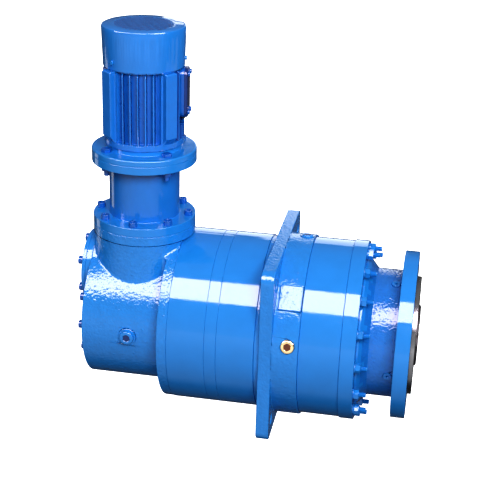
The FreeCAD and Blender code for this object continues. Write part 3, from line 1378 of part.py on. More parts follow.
def first_carrier():
    """Planet carrier of the first stage; its hub turns in the middle web and drives the second sun."""
    left_plate = rod_x(CARRIER1_R, X_CARRIER1_LEFT, X_CARRIER1_LEFT + CARRIER_PLATE_T)
    right_plate = rod_x(CARRIER1_R, X_CARRIER1_RIGHT - CARRIER_PLATE_T, X_CARRIER1_RIGHT)
    shoulder = rod_x(HUB1_R + 8.0, X_CARRIER1_RIGHT, X_WEB_LEFT - 1.0)
    hub = rod_x(HUB1_R, X_WEB_LEFT - 1.0, X_HUB1_RIGHT)
    posts = carrier_posts(
        CENTRES1, CARRIER1_R, X_CARRIER1_LEFT + CARRIER_PLATE_T, X_CARRIER1_RIGHT - CARRIER_PLATE_T)
    body = joined(left_plate, right_plate, shoulder, hub, *posts)
    shaft_hole = rod_x(SUN_SHAFT_R + 5.0, X_CARRIER1_LEFT - 1.0, X_CARRIER1_LEFT + CARRIER_PLATE_T + 1.0)
    sun_hole = rod_x(SUN2_STUB_R, X_HUB1_RIGHT - SUN2_STUB_L - 3.0, X_HUB1_RIGHT + 1.0)
    pins = pin_places(CENTRES1)
    pin_holes = holes_x(pins, PIN1_R, X_CARRIER1_LEFT - 1.0, X_CARRIER1_RIGHT + 1.0)
    return body.cut([shaft_hole, sun_hole] + pin_holes)


def pin_places(centres):
    return [polar(centres, a) for a in PLANET_ANGLES]


def first_planet_pins():
    return group(holes_x(pin_places(CENTRES1), PIN1_R, X_CARRIER1_LEFT, X_CARRIER1_RIGHT))


def second_sun_gear():
    """Second sun, its stub fixed in the first carrier's hub."""
    shaft = turned_x([
        (X_HUB1_RIGHT - SUN2_STUB_L, 0.0),
        (X_HUB1_RIGHT - SUN2_STUB_L, SUN2_STUB_R),
        (X_HUB1_RIGHT, SUN2_STUB_R),
        (X_HUB1_RIGHT, HUB1_R),
        (X_FACE2_LEFT, HUB1_R),
        (X_FACE2_LEFT, 0.0)])
    teeth = polygon_x(spur_outline(SUN2_TEETH, MODULE2, SUN2_PHASE), X_FACE2_LEFT, X_FACE2_RIGHT)
    return joined(shaft, teeth)


# Output carrier

def spline_outline():
    half = math.pi / SPLINE_TEETH
    flank = [(SPLINE_BORE_R, half * 0.55), (SPLINE_ROOT_R, half * 0.42)]
    return toothed_outline(SPLINE_TEETH, flank, 0.0)


def output_carrier():
    """Second planet carrier in one piece with the hollow output shaft and its inner spline."""
    left_plate = rod_x(CARRIER2_R, X_CARRIER2_LEFT, X_CARRIER2_LEFT + CARRIER_PLATE_T)
    right_plate = rod_x(CARRIER2_R, X_CARRIER2_RIGHT - CARRIER_PLATE_T, X_CARRIER2_RIGHT)
    shaft = turned_x([
        (X_CARRIER2_RIGHT, 0.0),
        (X_CARRIER2_RIGHT, OUT_CONE_LIP_R),
        (X_OUT_BEARING1, OUT_CONE_LIP_R),
        (X_OUT_BEARING1, OUT_SEAT_R),
        (X_OUT_BEARING1 + OUT_BEARING_W, OUT_SEAT_R),
        (X_OUT_BEARING1 + OUT_BEARING_W, OUT_SEAT_R + 6.0),
        (X_OUT_BEARING2, OUT_SEAT_R + 6.0),
        (X_OUT_BEARING2, OUT_SEAT_R),
        (-SPIGOT_PILOT_L, OUT_SEAT_R),
        (-SPIGOT_PILOT_L, SHAFT_END_R),
        (SHAFT_END_X - 2.0, SHAFT_END_R),
        (SHAFT_END_X, SHAFT_END_R - 2.0),
        (SHAFT_END_X, 0.0)])
    posts = carrier_posts(
        CENTRES2, CARRIER2_R, X_CARRIER2_LEFT + CARRIER_PLATE_T, X_CARRIER2_RIGHT - CARRIER_PLATE_T)
    body = joined(left_plate, right_plate, shaft, *posts)
    spline = polygon_x(spline_outline(), SHAFT_END_X - CENTRING_L - SPLINE_L, SHAFT_END_X)
    centring = rod_x(CENTRING_R, SHAFT_END_X - CENTRING_L, SHAFT_END_X + 1.0)
    sun_hole = rod_x(MODULE2 * SUN2_TEETH / 2.0 + MODULE2 * 2.0, X_CARRIER2_LEFT - 1.0, X_FACE2_LEFT)
    pin_holes = holes_x(pin_places(CENTRES2), PIN2_R, X_CARRIER2_LEFT - 1.0, X_CARRIER2_RIGHT)
    return body.cut([spline, centring, sun_hole] + pin_holes + shaft_notches())


def shaft_notches():
    """Driving notches across the rim of the output shaft's end."""
    notches = []
    for angle in circle_angles(SHAFT_NOTCHES, SHAFT_NOTCH_TURN):
        notch = Part.makeBox(
            SHAFT_NOTCH_L + 1.0, SHAFT_NOTCH_W, SHAFT_END_R,
            V(SHAFT_END_X - SHAFT_NOTCH_L, -SHAFT_NOTCH_W / 2.0, CENTRING_R * 0.5))
        notch.rotate(ORIGIN, ALONG_X, 90.0 + math.degrees(angle))
        notches.append(notch)
    return notches


def second_planet_pins():
    return group(holes_x(pin_places(CENTRES2), PIN2_R, X_CARRIER2_LEFT, X_CARRIER2_RIGHT))


PARTS = {
    "bevel_housing": bevel_housing,
    "rear_cover": rear_cover,
    "layshaft_cap": layshaft_cap,
    "cover_screws": cover_screws,
    "first_ring_gear": first_ring_gear,
    "spacer_ring": spacer_ring,
    "intermediate_housing": intermediate_housing,
    "tie_screws": tie_screws,
    "flange_housing": flange_housing,
    "second_ring_gear": second_ring_gear,
    "output_housing": output_housing,
    "end_studs": end_studs,
    "end_nuts": end_nuts,
    "spigot_ring": spigot_ring,
    "shaft_seals": shaft_seals,
    "oil_plugs": oil_plugs,
    "brass_plug": brass_plug,
    "grease_plugs": grease_plugs,
    "input_adapter": input_adapter,
    "adapter_screws": adapter_screws,
    "motor_flange_shield": motor_flange_shield,
    "motor_bolts": motor_bolts,
    "stator_frame": stator_frame,
    "stator_core": stator_core,
    "stator_windings": stator_windings,
    "rear_end_shield": rear_end_shield,
    "fan_cowl": fan_cowl,
    "cowl_screws": cowl_screws,
    "terminal_box": terminal_box,
    "terminal_lid": terminal_lid,
    "lid_screws": lid_screws,
    "entry_plug": entry_plug,
    "motor_bearings": motor_bearings,
    "pinion_bearings": pinion_bearings,
    "layshaft_bearings": layshaft_bearings,
    "sun_shaft_bearings": sun_shaft_bearings,
    "carrier_bearing": carrier_bearing,
    "output_bearing_cups": output_bearing_cups,
    "output_bearing_rollers": output_bearing_rollers,
    "output_bearing_cones": output_bearing_cones,
    "rotor_shaft": rotor_shaft,
    "rotor_core": rotor_core,
    "cooling_fan": cooling_fan,
    "coupling_sleeve": coupling_sleeve,
    "bevel_pinion": bevel_pinion,
    "bevel_wheel": bevel_wheel,
    "layshaft": layshaft,
    "input_spur_gear": input_spur_gear,
    "first_sun_shaft": first_sun_shaft,
    "first_carrier": first_carrier,
    "first_planet_pins": first_planet_pins,
    "second_sun_gear": second_sun_gear,
    "output_carrier": output_carrier,
    "second_planet_pins": second_planet_pins,
}

os.makedirs("parts", exist_ok=True)
for name, build in PARTS.items():
    build().exportStep("parts/" + name + ".step")
for index in range(PLANETS):
    first_planet(index).exportStep("parts/first_planet_" + str(index + 1) + ".step")
    second_planet(index).exportStep("parts/second_planet_" + str(index + 1) + ".step")
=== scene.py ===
"""Planetary speed reducer with a right-angle input and a vertical motor, painted blue.
All sizes are in metres. +X points out of the output shaft and +Z up along the motor."""

import json
import math

import bmesh
import bpy
from mathutils import Matrix, Vector


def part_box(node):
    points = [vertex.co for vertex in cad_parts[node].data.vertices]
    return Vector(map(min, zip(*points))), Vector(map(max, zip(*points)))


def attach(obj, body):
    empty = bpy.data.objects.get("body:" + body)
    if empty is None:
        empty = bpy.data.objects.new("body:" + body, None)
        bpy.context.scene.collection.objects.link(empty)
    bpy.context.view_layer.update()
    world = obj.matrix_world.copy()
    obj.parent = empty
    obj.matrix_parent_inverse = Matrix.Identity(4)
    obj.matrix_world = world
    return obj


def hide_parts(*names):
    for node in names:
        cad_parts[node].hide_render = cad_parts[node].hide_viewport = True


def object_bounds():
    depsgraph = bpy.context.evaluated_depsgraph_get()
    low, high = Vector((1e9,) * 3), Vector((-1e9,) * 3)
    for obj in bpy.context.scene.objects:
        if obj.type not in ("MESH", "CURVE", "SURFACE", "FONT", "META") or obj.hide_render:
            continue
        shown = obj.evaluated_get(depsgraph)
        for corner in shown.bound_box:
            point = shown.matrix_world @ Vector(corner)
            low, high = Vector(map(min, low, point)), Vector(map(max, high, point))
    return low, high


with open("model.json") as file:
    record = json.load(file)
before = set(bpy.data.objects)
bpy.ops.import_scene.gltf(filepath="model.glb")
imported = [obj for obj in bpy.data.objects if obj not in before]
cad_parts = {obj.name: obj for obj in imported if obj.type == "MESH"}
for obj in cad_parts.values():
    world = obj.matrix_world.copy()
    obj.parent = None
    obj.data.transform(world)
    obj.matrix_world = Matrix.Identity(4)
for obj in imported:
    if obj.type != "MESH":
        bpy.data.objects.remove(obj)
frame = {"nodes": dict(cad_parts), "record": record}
CAD_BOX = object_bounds()
SLOT = {row["node"]: row["material_slot"] for row in frame["record"]["subparts"]}
BODY = {node: body for body, nodes in frame["record"]["behaviour"]["bodies"].items() for node in nodes}

MM = 0.001
ORIGIN = Vector((0.0, 0.0, 0.0))
MOTOR_X = -0.535


# Shader nodes

def add_node(tree, kind, **settings):
    node = tree.nodes.new(kind)
    for key, value in settings.items():
        setattr(node, key, value)
    return node


def map_range(tree, value, from_span, to_span=(0.0, 1.0), smooth=False):
    """Socket of a value carried from one span to another."""
    node = add_node(tree, "ShaderNodeMapRange", interpolation_type="SMOOTHSTEP" if smooth else "LINEAR")
    for name, number in zip(("From Min", "From Max", "To Min", "To Max"), (*from_span, *to_span)):
        node.inputs[name].default_value = number
    tree.links.new(value, node.inputs["Value"])
    return node.outputs["Result"]


def multiply_add(tree, value, factor, offset):
    node = add_node(tree, "ShaderNodeMath", operation="MULTIPLY_ADD")
    for socket, source in zip(node.inputs, (value, factor, offset)):
        tree.links.new(source, socket)
    return node.outputs["Value"]


def noise(tree, place, detail, scale):
    node = add_node(tree, "ShaderNodeTexNoise")
    node.inputs["Detail"].default_value = detail
    tree.links.new(place, node.inputs["Vector"])
    tree.links.new(scale, node.inputs["Scale"])
    return node.outputs["Fac"]


def shader_group(name, inputs, outputs):
    """Empty node group with named number inputs and outputs."""
    tree = bpy.data.node_groups.new(name, "ShaderNodeTree")
    for label, value in inputs.items():
        socket = tree.interface.new_socket(label, in_out="INPUT", socket_type="NodeSocketFloat")
        socket.default_value = value
    for label in outputs:
        tree.interface.new_socket(label, in_out="OUTPUT", socket_type="NodeSocketFloat")
    return tree, tree.nodes.new("NodeGroupInput").outputs, tree.nodes.new("NodeGroupOutput").inputs


# Finishes

PEBBLE_DETAIL = 1.0
SWELL_DETAIL = 3.0
BLISTER_SCALE = 55.0
BLISTER_SPAN = (0.16, 0.02)
NOISE_SPAN = (0.3, 0.7)

BLUE = (0.018, 0.192, 0.520)
MOTOR_BLUE = (0.015, 0.160, 0.500)
# Painted shade: a darker blue for the neck of the output housing and for the adapter tube, shadowed by the discs
# and flanges beside them
NECK_SHADE_BLUE = (0.016, 0.150, 0.450)
COWL_BLUE = (0.018, 0.176, 0.510)
# Painted shade: a darker blue for the fin grooves, the terminal box and the screws
PAINTED_SHADE_BLUE = (0.008, 0.100, 0.380)
# Deeper painted shade for the shadowed sides of the fins
DEEP_SHADE_BLUE = (0.006, 0.060, 0.260)
# Painted shade for the terminal lid
LID_SHADE_BLUE = (0.005, 0.030, 0.150)
# Painted shade for the grille slots, the inside of the cowl and the oil plug sockets
SLOT_SHADE_BLUE = (0.006, 0.030, 0.120)

# Skins: scale of the pebbles, scale of the swell, share of the swell
CAST_SKIN = (210.0, 80.0, 0.35)
SMOOTH_SKIN = (120.0, 30.0, 0.5)
MOTOR_SKIN = (200.0, 60.0, 0.5)
FASTENER_SKIN = (300.0, 60.0, 0.5)
TURNED_SKIN = (400.0, 60.0, 0.5)
FINE_SKIN = (400.0, 80.0, 0.5)
DENSE_SKIN = (500.0, 80.0, 0.5)

# Finishes: material name, colour, roughness, skin, depth of the skin in mm, spread of tone, spread of gloss,
# then metal share and blisters where there are any
FINISHES = {
    "cast_paint": ("cast paint", BLUE, 0.05, CAST_SKIN, 1.3, 0.05, 0.02, 0.0, 0.45),
    # Painted shade on the neck and cone, together with their rough cast skin
    "neck_paint": ("neck paint", NECK_SHADE_BLUE, 0.05, CAST_SKIN, 1.3, 0.05, 0.02, 0.0, 0.45),
    "smooth_paint": ("smooth paint", BLUE, 0.08, SMOOTH_SKIN, 0.08, 0.03, 0.02),
    # Painted shade on the adapter tube under the motor flange
    "tube_paint": ("tube paint", NECK_SHADE_BLUE, 0.08, SMOOTH_SKIN, 0.08, 0.03, 0.02),
    "cowl_paint": ("cowl paint", COWL_BLUE, 0.10, SMOOTH_SKIN, 0.06, 0.03, 0.02),
    "motor_paint": ("motor paint", MOTOR_BLUE, 0.12, MOTOR_SKIN, 0.15, 0.04, 0.04),
    # Painted shade on the groove floors and, deeper, on the sides of the fins
    "groove_paint": ("groove paint", PAINTED_SHADE_BLUE, 0.30, MOTOR_SKIN, 0.15, 0.06, 0.04),
    "shaded_paint": ("shaded paint", DEEP_SHADE_BLUE, 0.30, MOTOR_SKIN, 0.15, 0.06, 0.04),
    # Painted shade: darker copies of the motor paint on the terminal box and, darker still, on its lid, which
    # faces away from the light
    "box_paint": ("box paint", PAINTED_SHADE_BLUE, 0.12, MOTOR_SKIN, 0.15, 0.04, 0.04),
    "lid_paint": ("lid paint", LID_SHADE_BLUE, 0.10, MOTOR_SKIN, 0.15, 0.04, 0.04),
    # Painted shade inside the cowl, on the walls of its grille slots and in the oil plug sockets
    "slot_shade": ("slot shade", SLOT_SHADE_BLUE, 0.60, MOTOR_SKIN, 0.15, 0.06, 0.04),
    "fastener_paint": ("fastener paint", BLUE, 0.07, FASTENER_SKIN, 0.3, 0.04, 0.02),
    # Painted shade: a darker copy of the fastener paint on the screws and bolts
    "screw_paint": ("screw paint", PAINTED_SHADE_BLUE, 0.07, FASTENER_SKIN, 0.3, 0.04, 0.02),
    "brass": ("brass", (0.78, 0.62, 0.36), 0.22, FINE_SKIN, 0.03, 0.08, 0.06, 1.0),
    # Painted shade in the socket of the brass plug
    "socket_shade": ("socket shade", (0.10, 0.03, 0.012), 0.40, FINE_SKIN, 0.03, 0.08, 0.06),
    "bare_steel": ("turned steel", (0.26, 0.26, 0.27), 0.18, TURNED_SKIN, 0.03, 0.06, 0.05, 1.0),
    "dark_steel": ("oiled dark steel", (0.026, 0.026, 0.028), 0.42, FASTENER_SKIN, 0.04, 0.1, 0.06),
    "gear_steel": ("gear steel", (0.42, 0.43, 0.45), 0.30, FASTENER_SKIN, 0.03, 0.06, 0.05, 1.0),
    "bearing_steel": ("bearing steel", (0.62, 0.62, 0.64), 0.18, FASTENER_SKIN, 0.02, 0.04, 0.04, 1.0),
    "core_steel": ("core steel", (0.20, 0.20, 0.21), 0.45, DENSE_SKIN, 0.05, 0.1, 0.05, 0.8),
    "copper": ("winding copper", (0.55, 0.22, 0.08), 0.35, DENSE_SKIN, 0.1, 0.1, 0.05, 0.9),
    "seal_rubber": ("seal rubber", (0.02, 0.02, 0.021), 0.55, DENSE_SKIN, 0.05, 0.1, 0.05),
    "fan_plastic": ("fan plastic", (0.03, 0.03, 0.032), 0.45, FINE_SKIN, 0.04, 0.1, 0.05),
    "plug_plastic": ("plug plastic", (0.03, 0.03, 0.035), 0.45, FINE_SKIN, 0.04, 0.1, 0.05)}


def casting_grain():
    """Skin of painted sand castings: pebbles over a softer unevenness, with a few scattered blisters."""
    tree, given, result = shader_group(
        "casting grain", {"Pebbles": 260.0, "Swell": 60.0, "Share": 0.5, "Blisters": 0.0}, ("Height", "Shade"))
    place = add_node(tree, "ShaderNodeTexCoord").outputs["Object"]
    pebbles = noise(tree, place, PEBBLE_DETAIL, given["Pebbles"])
    swell = noise(tree, place, SWELL_DETAIL, given["Swell"])
    mix = add_node(tree, "ShaderNodeMix", data_type="FLOAT")
    tree.links.new(given["Share"], mix.inputs["Factor"])
    tree.links.new(pebbles, mix.inputs["A"])
    tree.links.new(swell, mix.inputs["B"])
    spots = add_node(tree, "ShaderNodeTexVoronoi")
    spots.inputs["Scale"].default_value = BLISTER_SCALE
    tree.links.new(place, spots.inputs["Vector"])
    domes = map_range(tree, spots.outputs["Distance"], BLISTER_SPAN, smooth=True)
    raised = multiply_add(tree, domes, given["Blisters"], mix.outputs["Result"])
    tree.links.new(raised, result["Height"])
    tree.links.new(swell, result["Shade"])
    return tree


def surface(name, colour, roughness, metal=0.0):
    """Material with a plain base; returns the material and its shader node."""
    material = bpy.data.materials.new(name)
    material.use_nodes = True
    shader = material.node_tree.nodes["Principled BSDF"]
    shader.inputs["Base Color"].default_value = (*colour, 1.0)
    shader.inputs["Roughness"].default_value = roughness
    shader.inputs["Metallic"].default_value = metal
    return material, shader


def grained(grain, name, colour, roughness, skin, depth, tone_spread, gloss_spread, metal=0.0, blisters=0.0):
    """Material whose height, tone and gloss vary with the casting grain."""
    material, shader = surface(name, colour, roughness, metal)
    tree = material.node_tree
    coat = add_node(tree, "ShaderNodeGroup", node_tree=grain)
    for label, value in zip(("Pebbles", "Swell", "Share", "Blisters"), (*skin, blisters)):
        coat.inputs[label].default_value = value
    bump = add_node(tree, "ShaderNodeBump")
    bump.inputs["Strength"].default_value = 1.0
    bump.inputs["Distance"].default_value = depth * MM
    tree.links.new(coat.outputs["Height"], bump.inputs["Height"])
    tree.links.new(bump.outputs["Normal"], shader.inputs["Normal"])
    shade = coat.outputs["Shade"]
    tint = add_node(tree, "ShaderNodeVectorMath", operation="SCALE")
    tint.inputs[0].default_value = colour
    tone = map_range(tree, shade, NOISE_SPAN, (1.0 - tone_spread, 1.0 + tone_spread))
    tree.links.new(tone, tint.inputs["Scale"])
    tree.links.new(tint.outputs["Vector"], shader.inputs["Base Color"])
    gloss = map_range(tree, shade, NOISE_SPAN, (roughness - gloss_spread, roughness + gloss_spread))
    tree.links.new(gloss, shader.inputs["Roughness"])
    return material


GRAIN = casting_grain()
FINISH = {slot: grained(GRAIN, *row) for slot, row in FINISHES.items()}


def dress_frame():
    """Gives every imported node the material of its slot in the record."""
    for node, slot in SLOT.items():
        mesh = frame["nodes"][node].data
        mesh.materials.clear()
        mesh.materials.append(FINISH[slot])


dress_frame()


# Mesh helpers

WELD = 0.01 * MM
FLAT_ANGLE = math.radians(0.3)
SHARP_ANGLE = math.radians(32.0)
ROUNDED_ANGLE = math.radians(35.0)


def add_piece(mesh, node):
    """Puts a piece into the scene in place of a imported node."""
    piece = bpy.data.objects.new(node + "_piece", mesh)
    bpy.context.scene.collection.objects.link(piece)
    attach(piece, BODY[node])
    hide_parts(node)
    return piece


def piece_mesh(work, node, slots):
    """Smooth shaded mesh of a piece from its work mesh, with the finishes of its slots."""
    mesh = bpy.data.meshes.new(node + "_piece")
    work.to_mesh(mesh)
    work.free()
    mesh.shade_smooth()
    for slot in slots:
        mesh.materials.append(FINISH[slot])
    return mesh


def add_fasteners(work, node, slots=("fastener_paint",)):
    """Piece of closed bodies that were made ring by ring, smooth except at their sharp edges."""
    bmesh.ops.recalc_face_normals(work, faces=work.faces)
    mesh = piece_mesh(work, node, slots)
    mesh.set_sharp_from_angle(angle=SHARP_ANGLE)
    add_piece(mesh, node)


def joined_corners(node):
    """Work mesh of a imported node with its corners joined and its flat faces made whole."""
    work = bmesh.new()
    work.from_mesh(frame["nodes"][node].data)
    bmesh.ops.remove_doubles(work, verts=work.verts, dist=WELD)
    bmesh.ops.dissolve_limit(work, angle_limit=FLAT_ANGLE, verts=work.verts, edges=work.edges)
    return work


def solid_boxes(node):
    """(lowest corner, highest corner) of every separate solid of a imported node."""
    work = joined_corners(node)
    left = set(work.verts)
    boxes = []
    while left:
        front = [left.pop()]
        group = list(front)
        while front:
            corner = front.pop()
            for edge in corner.link_edges:
                other = edge.other_vert(corner)
                if other in left:
                    left.remove(other)
                    front.append(other)
                    group.append(other)
        low = Vector([min(corner.co[k] for corner in group) for k in range(3)])
        high = Vector([max(corner.co[k] for corner in group) for k in range(3)])
        boxes.append((low, high))
    work.free()
    return sorted(boxes, key=lambda box: tuple(round(c, 5) for c in box[0]))


def add_rings(work, rings, place, closed=True, material=0):
    """Round body along +X. Each ring is a list of (along, radius) pairs, one for each angle."""
    count = len(rings[0])
    rows = []
    for ring in rings:
        row = []
        for k, (along, radius) in enumerate(ring):
            angle = 2.0 * math.pi * k / count
            corner = Vector((along, radius * math.cos(angle), radius * math.sin(angle)))
            row.append(work.verts.new(place @ corner))
        rows.append(row)
    pairs = list(zip(rows, rows[1:]))
    if closed:
        pairs.append((rows[-1], rows[0]))
    faces = []
    for low, high in pairs:
        for k in range(count):
            after = (k + 1) % count
            faces.append(work.faces.new((low[k], high[k], high[after], low[after])))
    if not closed:
        faces.append(work.faces.new(rows[0]))
        faces.append(work.faces.new(list(reversed(rows[-1]))))
    for face in faces:
        face.material_index = material


def round_rings(profile, count):
    """Rings of a turned body from its (along, radius) corners."""
    return [[corner] * count for corner in profile]


def hexagon_radii(across, count):
    """Radius of a hexagon at evenly spaced angles, with a corner at the first."""
    sixth = math.pi / 3.0
    return [0.5 * across / math.cos((2.0 * math.pi * k / count) % sixth - 0.5 * sixth) for k in range(count)]


# Casings and motor

NECK_OUT_R = 135.5 * MM
TUBE_OUT_R = 75.0 * MM
FIN_FACE_R = 74.0 * MM
GROOVE_R = 67.0 * MM
COLLAR_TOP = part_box("stator_frame")[0][2] + 12.0 * MM
GRILLE_R = 58.5 * MM
STEEP = 0.5
INWARD = 0.1 * MM


def motor_radius(point):
    return math.hypot(point.x - MOTOR_X, point.y)


def neck_or_rim(face):
    """Rough skin and a darker painted shade on the neck and cone of the output housing, smooth paint on its two
    turned discs.
    """
    middle = face.calc_center_median()
    return 1 if math.hypot(middle.y, middle.z) > NECK_OUT_R else 0


def fin_or_groove(face):
    """Bright paint on fin tips and pads; painted shade, a darker coat, on the groove floors, and a deeper painted
    shade on the sides of the fins.
    """
    middle = face.calc_center_median()
    reach = motor_radius(middle)
    if reach > FIN_FACE_R or middle.z < COLLAR_TOP or abs(face.normal.z) > STEEP:
        return 0
    return 1 if reach < GROOVE_R else 2


def cowl_or_slot(face):
    """Painted shade inside the cowl and on the walls of its grille slots."""
    middle = face.calc_center_median()
    outward = Vector((middle.x - MOTOR_X, middle.y, 0.0))
    in_grille = motor_radius(middle) < GRILLE_R and abs(face.normal.z) < STEEP
    return 1 if in_grille or face.normal.dot(outward) < -INWARD or face.normal.z < -STEEP else 0


def flange_or_tube(face):
    """Bright paint on the two flanges of the adapter, a darker coat of painted shade on the tube between them."""
    return 1 if motor_radius(face.calc_center_median()) < TUBE_OUT_R and abs(face.normal.z) < STEEP else 0


# Width of the rounded edges in mm
EDGE_WIDTHS = {
    "bevel_housing": 1.2, "first_ring_gear": 0.9, "spacer_ring": 0.9, "intermediate_housing": 0.9,
    "second_ring_gear": 0.9, "rear_cover": 1.0, "layshaft_cap": 1.5, "flange_housing": 1.5, "spigot_ring": 0.8,
    "cowl_screws": 0.4, "grease_plugs": 0.5, "entry_plug": 0.4, "adapter_screws": 0.8, "cover_screws": 0.8,
    "lid_screws": 0.5, "motor_bolts": 0.6, "output_housing": 1.2, "stator_frame": 0.8, "fan_cowl": 0.35,
    "motor_flange_shield": 1.0, "terminal_box": 0.6, "terminal_lid": 0.4, "input_adapter": 1.2}

# Finishes of the pieces that don't take their slot's alone
COATS = {
    "adapter_screws": ("screw_paint",), "cover_screws": ("screw_paint",), "lid_screws": ("screw_paint",),
    "motor_bolts": ("screw_paint",), "motor_flange_shield": ("smooth_paint",), "terminal_box": ("box_paint",),
    "terminal_lid": ("lid_paint",), "output_housing": ("neck_paint", "smooth_paint"),
    "stator_frame": ("motor_paint", "groove_paint", "shaded_paint"), "fan_cowl": ("cowl_paint", "slot_shade"),
    "input_adapter": ("smooth_paint", "tube_paint")}

# What picks one of those finishes for a face
COAT_OF_FACE = {
    "output_housing": neck_or_rim, "stator_frame": fin_or_groove, "fan_cowl": cowl_or_slot,
    "input_adapter": flange_or_tube}


def softened(node, width):
    """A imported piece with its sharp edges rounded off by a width."""
    work = joined_corners(node)
    if node in COAT_OF_FACE:
        for face in work.faces:
            face.material_index = COAT_OF_FACE[node](face)
    mesh = piece_mesh(work, node, COATS.get(node, (SLOT[node],)))
    if "custom_normal" in mesh.attributes:
        mesh.attributes.remove(mesh.attributes["custom_normal"])
    bevel = add_piece(mesh, node).modifiers.new("edge", "BEVEL")
    bevel.width = width
    bevel.segments = 2
    bevel.limit_method = "ANGLE"
    bevel.angle_limit = ROUNDED_ANGLE
    bevel.harden_normals = True
    bevel.use_clamp_overlap = False


for node, width in EDGE_WIDTHS.items():
    softened(node, width * MM)


# Studs and nuts of the output end

STUD_R = 5.0 * MM
STUD_PITCH = 1.5 * MM
THREAD_DEPTH = 0.55 * STUD_PITCH
THREAD_GAP = 0.02 * MM
THREAD_END_R = STUD_R - 1.6 * THREAD_DEPTH
THREAD_CHAMFER_R = STUD_R - 1.4 * THREAD_DEPTH
THREAD_SIDES = 20
THREAD_COVER = 0.1 * MM
WASHER_R = 10.0 * MM
WASHER_T = 2.0 * MM
WASHER_EDGE = 0.35 * MM
WASHER_SIDES = 40
NUT_AF = 17.0 * MM
NUT_H = 9.3 * MM
NUT_SIDES = 48
NUT_SINK = 0.5 * MM
NUT_FACE_SHARE = 0.475
NUT_SLOPE = 0.5
NUT_TURN = 37
HEXAGON_TURN = 60


def nut_rings(low, high):
    """Rings of a hexagon nut, both faces chamfered to a cone and the bore countersunk."""
    bore = STUD_R + THREAD_COVER
    circle = NUT_FACE_SHARE * NUT_AF
    corner = hexagon_radii(NUT_AF, NUT_SIDES)
    return [
        [(low, bore)] * NUT_SIDES,
        [(low, circle)] * NUT_SIDES,
        [(low + NUT_SLOPE * (r - circle), r) for r in corner],
        [(high - NUT_SLOPE * (r - circle), r) for r in corner],
        [(high, circle)] * NUT_SIDES,
        [(high, bore + NUT_SINK)] * NUT_SIDES,
        [(high - NUT_SINK, bore)] * NUT_SIDES]


def washer_rings():
    bore = STUD_R + THREAD_COVER
    rim = WASHER_R - WASHER_EDGE
    return round_rings([
        (0.0, bore), (0.0, rim), (WASHER_EDGE, WASHER_R), (WASHER_T - WASHER_EDGE, WASHER_R), (WASHER_T, rim),
        (WASHER_T, bore)], WASHER_SIDES)


def thread_rings(low, high):
    """Rings of a threaded stud: the crest climbs by one pitch in a turn, and both ends are chamfered."""
    rings = [[(low, THREAD_END_R)] * THREAD_SIDES]
    half_pitches = int((high - low) / STUD_PITCH * 2.0) + 1
    for row in range(-2, half_pitches + 2):
        ring = []
        for k in range(THREAD_SIDES):
            along = low + STUD_PITCH * (0.5 * row + k / THREAD_SIDES)
            kept = min(max(along, low + THREAD_GAP), high - THREAD_GAP)
            crest_or_root = STUD_R if row % 2 == 0 else STUD_R - THREAD_DEPTH
            chamfer = THREAD_CHAMFER_R + min(kept - low, high - kept)
            ring.append((kept, min(crest_or_root, chamfer)))
        rings.append(ring)
    rings.append([(high, THREAD_END_R)] * THREAD_SIDES)
    return rings


def make_end_nuts():
    """Nuts and washers of the output end, each tightened to its own angle."""
    work = bmesh.new()
    for k, (low, high) in enumerate(solid_boxes("end_nuts")):
        middle = (low + high) / 2.0
        place = Matrix.Translation((low.x, middle.y, middle.z))
        add_rings(work, washer_rings(), place)
        turn = math.radians((k * NUT_TURN) % HEXAGON_TURN)
        add_rings(work, nut_rings(WASHER_T, WASHER_T + NUT_H), place @ Matrix.Rotation(turn, 4, "X"))
    add_fasteners(work, "end_nuts")


def make_end_studs():
    work = bmesh.new()
    for low, high in solid_boxes("end_studs"):
        middle = (low + high) / 2.0
        place = Matrix.Translation((0.0, middle.y, middle.z))
        add_rings(work, thread_rings(low.x, high.x), place, closed=False)
    add_fasteners(work, "end_studs")


# Plugs with a raised collar round a deep hexagon socket

BARREL_R = 137.0 * MM
CAST_R = 177.0 * MM
PLUG_SIDES = 48
PLUG_SINK = 1.0 * MM
PLUG_FOOT = 1.5 * MM
FOOT_EDGE = 0.4 * MM
COLLAR_FILLET = 0.3 * MM
COLLAR_ROUND = 1.8 * MM
COLLAR_CURVE = ((1.0, 0.0), (0.6, 0.08), (0.25, 0.4), (0.0, 1.0))
SOCKET_AF = 13.0 * MM
SOCKET_DEPTH = 10.0 * MM
MOUTH_R = 0.5 * SOCKET_AF + 0.9 * MM
MOUTH_DEPTH = 0.8 * MM

# Plugs: place along the axis, degrees above the near side, radius of the casing, then the plug's own foot
# radius, its collar as a share of that, and how far it stands out
PLUGS = {
    "level": (-0.535, 0.0, BARREL_R, 17.0 * MM, 0.80, 8.0 * MM),
    "filler": (-0.217, 98.0, CAST_R, 13.0 * MM, 0.80, 4.0 * MM),
    "brass": (-0.2215, 11.4, CAST_R, 13.0 * MM, 0.97, 4.0 * MM)}


def plug_place(along, angle, reach):
    """Place on a casing whose +X points straight out of it."""
    lift = math.radians(angle)
    outward = Vector((0.0, -math.cos(lift), math.sin(lift)))
    side = Vector((1.0, 0.0, 0.0))
    turn = Matrix((outward, outward.cross(side), side)).transposed().to_4x4()
    return Matrix.Translation(Vector((along, 0.0, 0.0)) + outward * reach) @ turn


